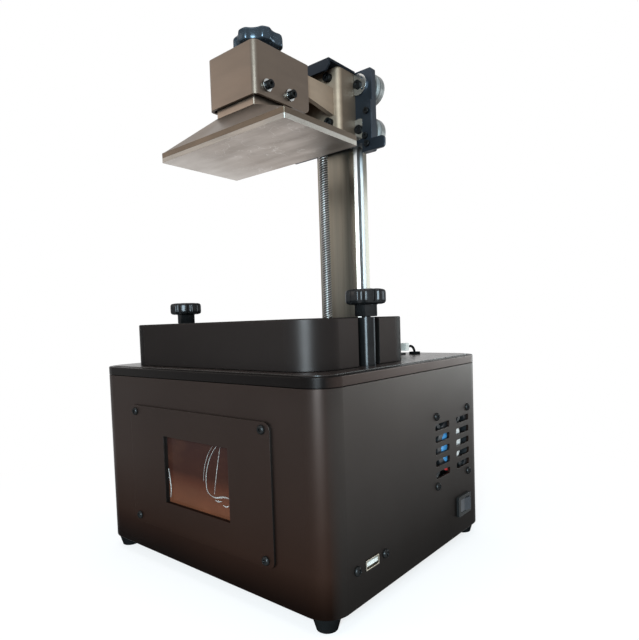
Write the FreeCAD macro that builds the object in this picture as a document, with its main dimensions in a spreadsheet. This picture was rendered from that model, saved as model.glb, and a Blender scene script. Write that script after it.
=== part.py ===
import FreeCAD, Part
import math
import os
import re
import Sketcher

# Resin printer with a screen-lit vat and a cantilever build platform.
# Units are millimetres, +Z is up, +X is the side with the switch and -Y is the front.
# The origin is the centre of the base's footprint, on the surface that the feet stand on.

DIMENSIONS = {
    # base enclosure
    "foot_height": 9.0,
    "foot_top_radius": 9.0,
    "foot_sole_radius": 6.3,
    "foot_place_x": 102.6,
    "foot_place_y": 88.6,
    "base_width": 230.0,
    "base_depth": 200.0,
    "base_height": 135.5,
    "corner_radius": 16.5,
    "wall": 2.0,
    "lid_band": 6.0,
    "seam": 0.6,
    "spigot_depth": 8.0,
    "rim_width": 4.0,
    "rim_gap": 0.8,
    "ledge_depth": 3.0,
    "deck_rise": 0.5,
    # front panel and touch screen
    "panel_middle": 1.3,
    "panel_width": 146.6,
    "panel_foot": 29.9,
    "panel_height": 87.4,
    "panel_thickness": 1.5,
    "panel_radius": 5.0,
    "panel_screw_reach": 66.6,
    "panel_screw_rise": 39.1,
    "window_middle": 2.8,
    "window_width": 68.3,
    "window_foot": 50.3,
    "window_height": 47.4,
    "glass_thickness": 1.2,
    "screen_thickness": 5.0,
    # cooling fan and its vents
    "fan_place_y": 49.6,
    "fan_place_z": 79.6,
    "fan_size": 60.0,
    "fan_depth": 15.0,
    "fan_screw_pitch": 50.0,
    "fan_bore_radius": 28.5,
    "fan_cup_radius": 19.5,
    "vent_length": 21.6,
    "vent_height": 4.7,
    "vent_pitch": 8.6,
    "vent_reach": 16.4,
    "vent_radius": 1.6,
    # data socket, switch and power inlet
    "port_place_y": -60.0,
    "port_place_z": 31.0,
    "port_width": 13.4,
    "port_height": 5.9,
    "port_screw_pitch": 29.3,
    "switch_place_y": 64.0,
    "switch_place_z": 31.0,
    "bezel_length": 21.0,
    "bezel_height": 15.0,
    "bezel_rise": 2.0,
    "rocker_length": 13.4,
    "rocker_height": 9.4,
    "rocker_lean": 9.0,
    "inlet_place_x": -70.0,
    "inlet_place_z": 31.0,
    # light engine and mask screen
    "vat_middle": -30.0,
    "mask_length": 146.0,
    "mask_width": 84.0,
    "mask_thickness": 3.3,
    "led_board_length": 90.0,
    "led_board_width": 70.0,
    # column and drive
    "column_width": 40.0,
    "column_depth": 20.0,
    "column_front": 66.1,
    "column_top": 380.0,
    "slot_mouth": 9.16,
    "slot_neck": 5.6,
    "slot_depth": 6.0,
    "screw_place_y": 49.5,
    "screw_radius": 4.0,
    "screw_top": 377.0,
    "screw_foot": 102.0,
    "column_base_thickness": 5.0,
    "motor_size": 42.3,
    "motor_length": 40.0,
    "motor_screw_pitch": 31.0,
    # carriage and wheels
    "carriage_width": 90.0,
    "carriage_front": 59.8,
    "carriage_thickness": 5.6,
    "carriage_foot": 314.0,
    "carriage_top": 380.5,
    "wheel_reach": 32.0,
    "wheel_low": 333.0,
    "wheel_high": 369.5,
    "wheel_radius": 13.2,
    "wheel_width": 10.2,
    "wheel_flat": 5.9,
    "axle_radius": 2.5,
    "bush_radius": 8.6,
    "bush_thickness": 1.6,
    "flag_left": 36.0,
    "flag_right": 57.0,
    "flag_thickness": 2.0,
    # arm
    "block_width": 56.4,
    "block_front": 37.8,
    "block_foot": 329.0,
    "block_top": 379.3,
    "block_radius": 4.0,
    "beam_width": 44.8,
    "beam_nose": -46.0,
    "beam_top": 363.3,
    "beam_root_foot": 341.5,
    "beam_foot": 347.0,
    "beam_wall": 4.0,
    "arm_screw_reach": 18.0,
    "cover_width": 57.6,
    "cover_front": 24.5,
    "cover_sheet": 2.0,
    "cover_lip": 8.8,
    # clamp cap and build platform
    "cap_width": 50.0,
    "cap_front": -53.0,
    "cap_rear": 3.0,
    "cap_foot": 332.5,
    "cap_top": 369.0,
    "cap_sheet": 2.0,
    "cap_radius": 4.5,
    "level_screw_reach": 11.7,
    "level_screw_height": 340.3,
    "platform_length": 130.0,
    "platform_width": 76.6,
    "platform_foot": 300.75,
    "slab_thickness": 3.4,
    "flange_height": 3.8,
    "neck_size": 40.0,
    "neck_foot": 326.8,
    "neck_top": 346.0,
    "clamp_place_y": -24.0,
    "clamp_grip_radius": 18.5,
    "clamp_grip_foot": 378.7,
    "clamp_grip_height": 9.7,
    "clamp_hub_radius": 9.0,
    # resin vat
    "vat_length": 194.0,
    "vat_width": 112.0,
    "vat_height": 31.2,
    "vat_float": 0.3,
    "running_gap": 0.3,
    "vat_radius": 24.0,
    "vat_bowl_length": 160.0,
    "vat_bowl_width": 84.0,
    "vat_bowl_radius": 12.0,
    "film_thickness": 0.2,
    "film_frame_height": 3.0,
    "film_frame_length": 170.0,
    "film_frame_width": 96.0,
    "post_reach": 95.0,
    "post_radius": 5.6,
    "notch_depth": 6.0,
    "notch_half_width": 12.0,
    "vat_knob_radius": 13.0,
    "vat_knob_hub_radius": 7.2,
    "vat_knob_height": 17.4,
    "vat_knob_grip_height": 9.6,
    # limit switch on the deck
    "limit_left": 44.0,
    "limit_length": 20.0,
    "limit_front": 55.4,
    "limit_depth": 6.5,
    "limit_foot": 149.0,
    "limit_height": 10.0,
    "grommet_x": 69.5,
    "grommet_y": 76.0,
    "cable_radius": 1.0,
    "cable_bend": 6.7,
}

LID_TOP = "(foot_height + base_height)"
LID_FOOT = "(foot_height + base_height - lid_band)"
SHELL_TOP = "(foot_height + base_height - lid_band - seam)"
LEDGE = "(foot_height + base_height - ledge_depth)"
DECK = "(foot_height + base_height + deck_rise)"
SIDE = "(base_width / 2)"
REAR = "(base_depth / 2)"
FRONT = "(-base_depth / 2)"
VAT_FOOT = "(foot_height + base_height + deck_rise + vat_float)"
VAT_TOP = "(foot_height + base_height + deck_rise + vat_float + vat_height)"
COLUMN_MIDDLE = "(column_front + column_depth / 2)"
CARRIAGE_REAR = "(carriage_front + carriage_thickness)"
BEAM_SIDE = "(beam_width / 2)"
CAP_SIDE = "(cap_width / 2)"
SLAB_TOP = "(platform_foot + slab_thickness)"
FLANGE_TOP = "(platform_foot + slab_thickness + flange_height)"

X_WAY = FreeCAD.Vector(1, 0, 0)
Y_WAY = FreeCAD.Vector(0, 1, 0)
Z_WAY = FreeCAD.Vector(0, 0, 1)

doc = FreeCAD.newDocument("resin_printer")
sheet = doc.addObject("Spreadsheet::Sheet", "Sheet")
for row, (alias, size) in enumerate(DIMENSIONS.items(), start=1):
    sheet.set(f"A{row}", alias)
    sheet.set(f"B{row}", str(size))
    sheet.setAlias(f"B{row}", alias)
doc.recompute()
subparts = []


# Formulas and finished sub-parts

def sheet_formula(formula):
    """Turn a formula of plain names into one that reads the sheet's cells."""
    def cell(match):
        word = match.group(0)
        return f"Sheet.{word}" if word in DIMENSIONS else word
    return re.sub(r"[a-z_]+", cell, str(formula))


def bind(thing, prop, formula):
    thing.setExpression(prop, sheet_formula(formula))


def place(thing, x, y, z):
    for axis, formula in zip("xyz", (x, y, z)):
        bind(thing, f"Placement.Base.{axis}", formula)


def finish(thing, label):
    """Name a finished sub-part, which is then checked and written."""
    thing.Label = label
    subparts.append(thing)
    return thing


# Primitives, each between two formulas along each axis

def box(name, xs, ys, zs):
    thing = doc.addObject("Part::Box", name)
    for prop, (low, high) in zip(("Length", "Width", "Height"), (xs, ys, zs)):
        bind(thing, prop, f"({high}) - ({low})")
    place(thing, xs[0], ys[0], zs[0])
    return thing


def cylinder(name, radius, start, length, way=Z_WAY):
    """A round bar from the start point along way."""
    thing = doc.addObject("Part::Cylinder", name)
    bind(thing, "Radius", radius)
    bind(thing, "Height", length)
    thing.Placement.Rotation = FreeCAD.Rotation(Z_WAY, way)
    place(thing, *start)
    return thing


def cone(name, low_radius, high_radius, start, length, way=Z_WAY):
    thing = doc.addObject("Part::Cone", name)
    bind(thing, "Radius1", low_radius)
    bind(thing, "Radius2", high_radius)
    bind(thing, "Height", length)
    thing.Placement.Rotation = FreeCAD.Rotation(Z_WAY, way)
    place(thing, *start)
    return thing


def fuse(name, shapes):
    thing = doc.addObject("Part::MultiFuse", name)
    thing.Shapes = shapes
    return thing


def cut(name, base, tools):
    thing = doc.addObject("Part::Cut", name)
    thing.Base = base
    thing.Tool = tools[0] if len(tools) == 1 else fuse(f"{name}_tools", tools)
    return thing


def group(name, shapes):
    thing = doc.addObject("Part::Compound", name)
    thing.Links = shapes
    return thing


# Bodies with rounded edges, and bodies drawn as outlines

def edge_names(feature, chosen):
    doc.recompute()
    edges = enumerate(feature.Shape.Edges, start=1)
    return [f"Edge{number}" for number, edge in edges if chosen(edge)]


def runs_along(way, chosen=None):
    """Choose straight edges along way, all of them or those whose middle is chosen."""
    def test(edge):
        if len(edge.Vertexes) != 2:
            return False
        run = edge.Vertexes[1].Point - edge.Vertexes[0].Point
        straight = abs(run.Length - edge.Length) < 1e-6
        along = run.cross(way).Length < 1e-6
        return straight and along and (chosen is None or chosen(edge.CenterOfMass))
    return test


def round_edges(body, chosen, radius):
    feature = body.Tip
    fillet = body.newObject("PartDesign::Fillet", f"{body.Name}_round")
    fillet.Base = (feature, edge_names(feature, chosen))
    bind(fillet, "Radius", radius)
    body.Tip = fillet
    return body


def rounded_box(name, xs, ys, zs, radius, way=Z_WAY, chosen=None):
    """A box whose edges along way are rounded; chosen gets an edge's middle in the box's own corner frame."""
    body = doc.addObject("PartDesign::Body", name)
    block = body.newObject("PartDesign::AdditiveBox", f"{name}_block")
    for prop, (low, high) in zip(("Length", "Width", "Height"), (xs, ys, zs)):
        bind(block, prop, f"({high}) - ({low})")
    place(body, xs[0], ys[0], zs[0])
    return round_edges(body, runs_along(way, chosen), radius)


def outline(body, role, points):
    """A closed outline on one of the body's own planes, with every corner bound to two formulas."""
    sketch = body.newObject("Sketcher::SketchObject", f"{body.Name}_outline")
    planes = [plane for plane in body.Origin.OriginFeatures if plane.Role == role]
    sketch.AttachmentSupport = [(planes[0], "")]
    sketch.MapMode = "FlatFace"
    count = len(points)
    turn = 2 * math.pi / count
    corners = [FreeCAD.Vector(math.cos(turn * i), math.sin(turn * i), 0) for i in range(count)]
    for i in range(count):
        sketch.addGeometry(Part.LineSegment(corners[i], corners[(i + 1) % count]), False)
    for i in range(count):
        sketch.addConstraint(Sketcher.Constraint("Coincident", i, 2, (i + 1) % count, 1))
    for i, (across, up) in enumerate(points):
        for kind, start, formula in (("DistanceX", corners[i].x, across),
                                     ("DistanceY", corners[i].y, up)):
            number = sketch.addConstraint(Sketcher.Constraint(kind, -1, 1, i, 1, start))
            bind(sketch, f"Constraints[{number}]", formula)
    return sketch


def padded(name, role, points, start, length):
    """An outline pushed out along its plane's normal from start."""
    body = doc.addObject("PartDesign::Body", name)
    sketch = outline(body, role, points)
    bind(sketch, "AttachmentOffset.Base.z", start)
    pad = body.newObject("PartDesign::Pad", f"{name}_pad")
    pad.Profile = sketch
    bind(pad, "Length", length)
    body.Tip = pad
    return body


def turned(name, role, points, x, y, z):
    """An outline turned about its plane's upright axis, then placed."""
    body = doc.addObject("PartDesign::Body", name)
    sketch = outline(body, role, points)
    turn = body.newObject("PartDesign::Revolution", f"{name}_turn")
    turn.Profile = sketch
    turn.ReferenceAxis = (sketch, ["V_Axis"])
    turn.Angle = 360
    body.Tip = turn
    place(body, x, y, z)
    return body


# Fasteners

def screw(name, seat, way, head_radius, head_height, shank_radius, shank_length, key_radius):
    """A screw with a hex socket; seat is where its head rests and way is the way the head faces."""
    head = cylinder(f"{name}_head", head_radius, ("0", "0", "0"), head_height)
    shank = cylinder(f"{name}_shank", shank_radius, ("0", "0", f"-({shank_length})"), shank_length)
    key = doc.addObject("Part::Prism", f"{name}_key")
    key.Polygon = 6
    bind(key, "Circumradius", key_radius)
    bind(key, "Height", head_height)
    place(key, "0", "0", f"0.4 * ({head_height})")
    made = cut(name, fuse(f"{name}_bar", [head, shank]), [key])
    made.Placement.Rotation = FreeCAD.Rotation(Z_WAY, way)
    place(made, *seat)
    return made


def small_screw(name, seat, way, length):
    """M3 button head."""
    return screw(name, seat, way, 2.9, 1.8, 1.5, length, 1.15)


def cap_screw(name, seat, way, length):
    """M4 cap head."""
    return screw(name, seat, way, 3.5, 4.0, 2.0, length, 1.7)


def corners_of(reach, rise):
    return [(f"{i} * ({reach})", f"{j} * ({rise})") for i in (-1, 1) for j in (-1, 1)]


# Base shell, its floor and its feet

def build_base():
    outer = rounded_box("shell_outer", (f"-{SIDE}", SIDE), (FRONT, REAR), ("foot_height", SHELL_TOP),
                        "corner_radius")
    round_edges(outer, lambda edge: edge.BoundBox.ZMax < 0.001, "wall / 2")
    inner = rounded_box("shell_inner", (f"wall - {SIDE}", f"{SIDE} - wall"),
                        (f"{FRONT} + wall", f"{REAR} - wall"), ("0", LID_TOP), "corner_radius - wall")
    holes = [inner]
    holes.append(box("shell_window", ("window_middle - window_width / 2 - 0.3",
                                      "window_middle + window_width / 2 + 0.3"),
                     (f"{FRONT} - 1", f"{FRONT} + wall + 1"),
                     ("window_foot - 0.3", "window_foot + window_height + 0.3")))
    through_side = (f"{SIDE} - wall - 1", f"{SIDE} + 1")
    for column in (-1, 1):
        middle = f"fan_place_y + {column} * vent_reach"
        for row in range(-2, 3):
            height = f"fan_place_z + {row} * vent_pitch"
            holes.append(rounded_box(f"vent_{column + 1}_{row + 2}", through_side,
                                     (f"{middle} - vent_length / 2", f"{middle} + vent_length / 2"),
                                     (f"{height} - vent_height / 2", f"{height} + vent_height / 2"),
                                     "vent_radius", X_WAY))
    for i, (along, up) in enumerate(corners_of("fan_screw_pitch / 2", "fan_screw_pitch / 2")):
        holes.append(cylinder(f"fan_hole_{i}", "1.6", (f"{SIDE} - wall - 1", f"fan_place_y + {along}",
                                                       f"fan_place_z + {up}"), "wall + 2", X_WAY))
    holes.append(box("port_hole", through_side,
                     ("port_place_y - port_width / 2 - 0.3", "port_place_y + port_width / 2 + 0.3"),
                     ("port_place_z - port_height / 2 - 0.3", "port_place_z + port_height / 2 + 0.3")))
    for end in (-1, 1):
        holes.append(cylinder(f"port_screw_hole_{end + 1}", "1.6",
                              (f"{SIDE} - wall - 1", f"port_place_y + {end} * port_screw_pitch / 2",
                               "port_place_z"), "wall + 2", X_WAY))
    holes.append(box("switch_hole", through_side,
                     ("switch_place_y - bezel_length / 2 + 1", "switch_place_y + bezel_length / 2 - 1"),
                     ("switch_place_z - bezel_height / 2 + 1", "switch_place_z + bezel_height / 2 - 1")))
    holes.append(cylinder("inlet_hole", "4.2", ("inlet_place_x", f"{REAR} - wall - 1", "inlet_place_z"),
                          "wall + 2", Y_WAY))
    for i, (along, up) in enumerate(corners_of("panel_screw_reach", "panel_screw_rise")):
        holes.append(cylinder(f"panel_hole_{i}", "1.6",
                              (f"panel_middle + {along}", f"{FRONT} - 1",
                               f"panel_foot + panel_height / 2 + {up}"), "wall + 2", Y_WAY))
    finish(cut("base_shell", outer, holes), "base_shell")
    finish(rounded_box("base_plate", (f"wall - {SIDE}", f"{SIDE} - wall"),
                       (f"{FRONT} + wall", f"{REAR} - wall"), ("foot_height", "foot_height + wall"),
                       "corner_radius"), "base_plate")
    feet = []
    for i, (along, back) in enumerate(corners_of("foot_place_x", "foot_place_y")):
        feet.append(cone(f"foot_{i}", "foot_sole_radius", "foot_top_radius", (along, back, "0"),
                         "foot_height"))
    finish(group("feet", feet), "feet")


# Lid frame with its rim, and the deck plate set into it

def build_lid():
    band = rounded_box("lid_band_block", (f"-{SIDE}", SIDE), (FRONT, REAR), (LID_FOOT, LID_TOP),
                       "corner_radius")
    round_edges(band, lambda edge: edge.BoundBox.ZMin > DIMENSIONS["lid_band"] - 0.001, "0.8")
    spigot = rounded_box("lid_spigot", (f"wall + 0.2 - {SIDE}", f"{SIDE} - wall - 0.2"),
                         (f"{FRONT} + wall + 0.2", f"{REAR} - wall - 0.2"),
                         (f"{LID_FOOT} - spigot_depth", LID_FOOT), "corner_radius - wall")
    recess = rounded_box("lid_recess", (f"rim_width - {SIDE}", f"{SIDE} - rim_width"),
                         (f"{FRONT} + rim_width", f"{REAR} - rim_width"), (LEDGE, f"{LID_TOP} + 1"),
                         "corner_radius - rim_width")
    mouth = rounded_box("lid_mouth", (f"2 * rim_width - {SIDE}", f"{SIDE} - 2 * rim_width"),
                        (f"{FRONT} + 2 * rim_width", f"{REAR} - 2 * rim_width"),
                        (f"{LID_FOOT} - spigot_depth - 1",
                         f"{LEDGE} + 1"), "corner_radius - 2 * rim_width")
    finish(cut("lid_frame", fuse("lid_ring", [band, spigot]), [recess, mouth]), "lid_frame")
    inset = "(rim_width + rim_gap)"
    deck = rounded_box("deck_block", (f"{inset} - {SIDE}", f"{SIDE} - {inset}"),
                       (f"{FRONT} + {inset}", f"{REAR} - {inset}"), (LEDGE, DECK),
                       f"corner_radius - {inset}")
    through = (f"{LEDGE} - 1", f"{DECK} + 1")
    holes = [
        box("deck_mask_hole", ("-mask_length / 2 - 0.3", "mask_length / 2 + 0.3"),
            ("vat_middle - mask_width / 2 - 0.3", "vat_middle + mask_width / 2 + 0.3"), through),
        box("deck_column_hole", ("-column_width / 2 - 0.5", "column_width / 2 + 0.5"),
            ("column_front - 0.5", "column_front + column_depth + 0.5"), through),
        cylinder("deck_screw_hole", "screw_radius * 2", ("0", "screw_place_y", through[0]),
                 "ledge_depth + 3"),
        cylinder("deck_cable_hole", "3", ("grommet_x", "grommet_y", through[0]), "ledge_depth + 3"),
    ]
    finish(cut("deck_plate", deck, holes), "deck_plate")


# Mask screen and the light engine under it

def build_light_engine():
    half_length = "(mask_length / 2)"
    half_width = "(mask_width / 2)"
    finish(box("mask_glass", (f"-{half_length}", half_length),
               (f"vat_middle - {half_width}", f"vat_middle + {half_width}"),
               (LEDGE, f"{LEDGE} + mask_thickness")), "mask_glass")
    finish(box("mask_panel", (f"-{half_length} - 7", f"{half_length} + 7"),
               (f"vat_middle - {half_width} - 6", f"vat_middle + {half_width} + 6"),
               (f"{LEDGE} - 2.5", LEDGE)), "mask_panel")
    hood_foot = "70"
    hood_top = f"({LEDGE} - 2.5)"
    walls = []
    for name, thickness in (("hood_outer", "2"), ("hood_inner", "0")):
        wedge = doc.addObject("Part::Wedge", name)
        low_x = f"(led_board_length / 2 - 6 + {thickness})"
        low_y = f"(led_board_width / 2 - 6 + {thickness})"
        high_x = f"({half_length} - 4 + {thickness})"
        high_y = f"({half_width} - 4 + {thickness})"
        sizes = {"Xmin": f"-{low_x}", "Xmax": low_x, "Zmin": f"-{low_y}", "Zmax": low_y,
                 "X2min": f"-{high_x}", "X2max": high_x, "Z2min": f"-{high_y}", "Z2max": high_y,
                 "Ymin": "0", "Ymax": f"{hood_top} - {hood_foot}"}
        for prop, formula in sizes.items():
            bind(wedge, prop, formula)
        wedge.Placement.Rotation = FreeCAD.Rotation(X_WAY, 90)
        place(wedge, "0", "vat_middle", hood_foot)
        walls.append(wedge)
    finish(cut("light_hood", walls[0], walls[1:]), "light_hood")
    board_x = ("-led_board_length / 2", "led_board_length / 2")
    board_y = ("vat_middle - led_board_width / 2", "vat_middle + led_board_width / 2")
    chips = [box("led_carrier", board_x, board_y, ("66", "67.6"))]
    for column in range(-2, 3):
        for row in range(-2, 3):
            x, y = f"{column} * led_board_length / 6", f"vat_middle + {row} * led_board_width / 6"
            chips.append(box(f"led_{column + 2}_{row + 2}", (f"{x} - 1.75", f"{x} + 1.75"),
                             (f"{y} - 1.75", f"{y} + 1.75"), ("67", "69.2")))
    finish(fuse("led_board", chips), "led_board")
    plates = [box("sink_base", board_x, board_y, ("60", "66"))]
    for fin in range(-4, 5):
        x = f"{fin} * led_board_length / 9"
        plates.append(box(f"sink_fin_{fin + 4}", (f"{x} - 1", f"{x} + 1"), board_y, ("40", "60.5")))
    finish(fuse("led_heatsink", plates), "led_heatsink")
    legs = []
    for i, (along, back) in enumerate(corners_of("led_board_length / 2 - 5", "led_board_width / 2 - 4")):
        legs.append(cylinder(f"sink_leg_{i}", "2.5",
                             (f"{along}", f"vat_middle + {back}", "foot_height + wall"),
                             "40 - foot_height - wall"))
    return legs


# Controller board

def build_board():
    posts = []
    for i, (x, y) in enumerate([("-101", "-56"), ("-59", "-56"), ("-101", "51"), ("-59", "51")]):
        posts.append(cylinder(f"board_post_{i}", "3", (x, y, "foot_height + wall"),
                              "19 - foot_height - wall"))
    fittings = [box("board_sheet", ("-105", "-55"), ("-60", "55"), ("19", "20.6"))]
    for i in range(4):
        y = f"{-45 + 20 * i}"
        fittings.append(box(f"driver_{i}", ("-84", "-70"), (y, f"{y} + 12"), ("20", "32")))
        fittings.append(cylinder(f"capacitor_{i}", "4", ("-95", f"{y} + 6", "20"), "12"))
    finish(fuse("main_board", fittings), "main_board")
    return posts


# Front panel and touch screen

def build_front():
    plate = rounded_box("panel_block", ("panel_middle - panel_width / 2",
                                        "panel_middle + panel_width / 2"),
                        (f"{FRONT} - panel_thickness", FRONT), ("panel_foot",
                                                                "panel_foot + panel_height"),
                        "panel_radius", Y_WAY)
    holes = [box("panel_window", ("window_middle - window_width / 2", "window_middle + window_width / 2"),
                 (f"{FRONT} - panel_thickness - 1", f"{FRONT} + 1"),
                 ("window_foot", "window_foot + window_height"))]
    screws = []
    for i, (along, up) in enumerate(corners_of("panel_screw_reach", "panel_screw_rise")):
        x, z = f"panel_middle + {along}", f"panel_foot + panel_height / 2 + {up}"
        holes.append(cylinder(f"panel_bore_{i}", "1.6", (x, f"{FRONT} - panel_thickness - 1", z),
                              "panel_thickness + 2", Y_WAY))
        screws.append(small_screw(f"panel_screw_{i}", (x, f"{FRONT} - panel_thickness", z), -Y_WAY, "6"))
    finish(cut("front_panel", plate, holes), "front_panel")
    screen_x = ("window_middle - window_width / 2 - 7", "window_middle + window_width / 2 + 7")
    screen_z = ("window_foot - 7", "window_foot + window_height + 7")
    face = f"({FRONT} + wall)"
    finish(box("touch_glass", screen_x, (face, f"{face} + glass_thickness"), screen_z), "touch_glass")
    finish(box("touch_screen", screen_x,
               (f"{face} + glass_thickness", f"{face} + glass_thickness + screen_thickness"), screen_z),
           "touch_screen")
    return screws


# Cooling fan behind the vents, with its cup and struts on the outer side

def build_fan():
    outer = f"({SIDE} - wall)"
    inner = f"({outer} - fan_depth)"
    half = "(fan_size / 2)"
    ring = rounded_box("fan_block", (inner, outer), (f"fan_place_y - {half}", f"fan_place_y + {half}"),
                       (f"fan_place_z - {half}", f"fan_place_z + {half}"), "4", X_WAY)
    bore = cylinder("fan_bore", "fan_bore_radius", (f"{inner} - 1", "fan_place_y", "fan_place_z"),
                    "fan_depth + 2", X_WAY)
    holes = [bore]
    screws = []
    for i, (along, up) in enumerate(corners_of("fan_screw_pitch / 2", "fan_screw_pitch / 2")):
        y, z = f"fan_place_y + {along}", f"fan_place_z + {up}"
        holes.append(cylinder(f"fan_frame_hole_{i}", "1.6", (f"{inner} - 1", y, z), "fan_depth + 2",
                              X_WAY))
        screws.append(small_screw(f"fan_screw_{i}", (SIDE, y, z), X_WAY, "12"))
    cup = cylinder("fan_cup", "fan_cup_radius", (f"{outer} - 4.5", "fan_place_y", "fan_place_z"), "3.5",
                   X_WAY)
    struts = []
    for lean in (45, 135):
        strut = box(f"fan_strut_{lean}", ("-1.25", "1.25"),
                    ("-fan_bore_radius - 0.5", "fan_bore_radius + 0.5"),
                    ("-1.6", "1.6"))
        leant = group(f"fan_strut_{lean}_leant", [strut])
        leant.Placement.Rotation = FreeCAD.Rotation(X_WAY, lean)
        place(leant, f"{outer} - 2.5", "fan_place_y", "fan_place_z")
        struts.append(leant)
    finish(fuse("fan_frame", [cut("fan_ring", ring, holes), cup] + struts), "fan_frame")
    hub = cylinder("fan_hub", "fan_cup_radius - 0.5", (f"{inner} + 0.5", "fan_place_y", "fan_place_z"),
                   "9.5", X_WAY)
    blades = []
    blade_count = 7
    for i in range(blade_count):
        blade = box(f"fan_blade_{i}", ("-4.2", "4.2"), ("-0.6", "0.6"),
                    ("fan_cup_radius - 3", "fan_bore_radius - 1"))
        pitched = group(f"fan_blade_{i}_pitched", [blade])
        pitched.Placement.Rotation = FreeCAD.Rotation(Z_WAY, 40)
        spun = group(f"fan_blade_{i}_spun", [pitched])
        spun.Placement.Rotation = FreeCAD.Rotation(X_WAY, 360 / blade_count * i)
        place(spun, f"{inner} + 5.2", "fan_place_y", "fan_place_z")
        blades.append(spun)
    finish(fuse("fan_impeller", [hub] + blades), "fan_impeller")
    return screws


# Data socket, rocker switch and power inlet

def build_ports():
    inner = f"({SIDE} - wall)"
    half_w, half_h = "(port_width / 2)", "(port_height / 2)"
    tube = box("port_tube", (f"{inner} - 12", f"{SIDE} + 0.6"),
               (f"port_place_y - {half_w}", f"port_place_y + {half_w}"),
               (f"port_place_z - {half_h}", f"port_place_z + {half_h}"))
    mouth = box("port_mouth", (f"{inner} - 10", f"{SIDE} + 2"),
                (f"port_place_y - {half_w} + 0.5", f"port_place_y + {half_w} - 0.5"),
                (f"port_place_z - {half_h} + 0.5", f"port_place_z + {half_h} - 0.5"))
    finish(cut("port_shell", tube, [mouth]), "port_shell")
    finish(box("port_tongue", (f"{inner} - 10", f"{SIDE} + 0.2"),
               (f"port_place_y - {half_w} + 0.9", f"port_place_y + {half_w} - 0.9"),
               ("port_place_z - 1", "port_place_z + 1.4")), "port_tongue")
    bar = box("port_bar_block", (f"{inner} - 3", inner), ("port_place_y - 19", "port_place_y + 19"),
              ("port_place_z - 6", "port_place_z + 6"))
    holes = [box("port_bar_hole", (f"{inner} - 4", f"{inner} + 1"),
                 (f"port_place_y - {half_w}", f"port_place_y + {half_w}"),
                 (f"port_place_z - {half_h}", f"port_place_z + {half_h}"))]
    screws = []
    for end in (-1, 1):
        y = f"port_place_y + {end} * port_screw_pitch / 2"
        holes.append(cylinder(f"port_bar_bore_{end + 1}", "1.6", (f"{inner} - 4", y, "port_place_z"),
                              "5", X_WAY))
        screws.append(small_screw(f"port_screw_{end + 1}", (SIDE, y, "port_place_z"), X_WAY, "8"))
    finish(cut("port_bar", bar, holes), "port_bar")

    half_l, half_b = "(bezel_length / 2)", "(bezel_height / 2)"
    bezel = rounded_box("bezel_block", (SIDE, f"{SIDE} + bezel_rise"),
                        (f"switch_place_y - {half_l}", f"switch_place_y + {half_l}"),
                        (f"switch_place_z - {half_b}", f"switch_place_z + {half_b}"), "1", X_WAY)
    case = box("switch_case", (f"{SIDE} - 18", SIDE),
               (f"switch_place_y - {half_l} + 1.2", f"switch_place_y + {half_l} - 1.2"),
               (f"switch_place_z - {half_b} + 1.2", f"switch_place_z + {half_b} - 1.2"))
    well = box("switch_well", (f"{SIDE} - 7", f"{SIDE} + bezel_rise + 1"),
               ("switch_place_y - rocker_length / 2 - 0.7", "switch_place_y + rocker_length / 2 + 0.7"),
               ("switch_place_z - rocker_height / 2 - 0.4", "switch_place_z + rocker_height / 2 + 0.4"))
    finish(cut("switch_housing", fuse("switch_body", [bezel, case]), [well]), "switch_housing")
    half_r = "(rocker_length / 2)"
    rocker = padded("rocker_block", "XY_Plane",
                    [("-3.5", f"1.2 - {half_r}"), ("2.2", f"-{half_r}"), ("1.1", "0"), ("2.2", half_r),
                     ("-3.5", f"{half_r} - 1.2")],
                    "-rocker_height / 2", "rocker_height")
    rocker.Placement.Rotation = FreeCAD.Rotation(Z_WAY, -DIMENSIONS["rocker_lean"])
    place(rocker, f"{SIDE} + 0.6", "switch_place_y", "switch_place_z")
    pin = cylinder("rocker_pin", "1.2", (f"{SIDE} + 0.6", "switch_place_y",
                                         "switch_place_z - rocker_height / 2 - 0.1"), "rocker_height + 0.2")
    finish(fuse("switch_rocker", [rocker, pin]), "switch_rocker")

    jack = cylinder("inlet_body", "4.1", ("inlet_place_x", f"{REAR} - 14", "inlet_place_z"), "15", Y_WAY)
    flange = cylinder("inlet_flange", "6", ("inlet_place_x", REAR, "inlet_place_z"), "1.5", Y_WAY)
    socket = cylinder("inlet_socket", "2.8", ("inlet_place_x", f"{REAR} - 9", "inlet_place_z"), "12",
                      Y_WAY)
    pin = cylinder("inlet_pin", "1", ("inlet_place_x", f"{REAR} - 10", "inlet_place_z"), "10", Y_WAY)
    hollow_jack = cut("inlet_hollow", fuse("inlet_case", [jack, flange]), [socket])
    finish(fuse("power_inlet", [hollow_jack, pin]), "power_inlet")
    return screws


# Column, its foot plate, the motor and the lead screw

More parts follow.
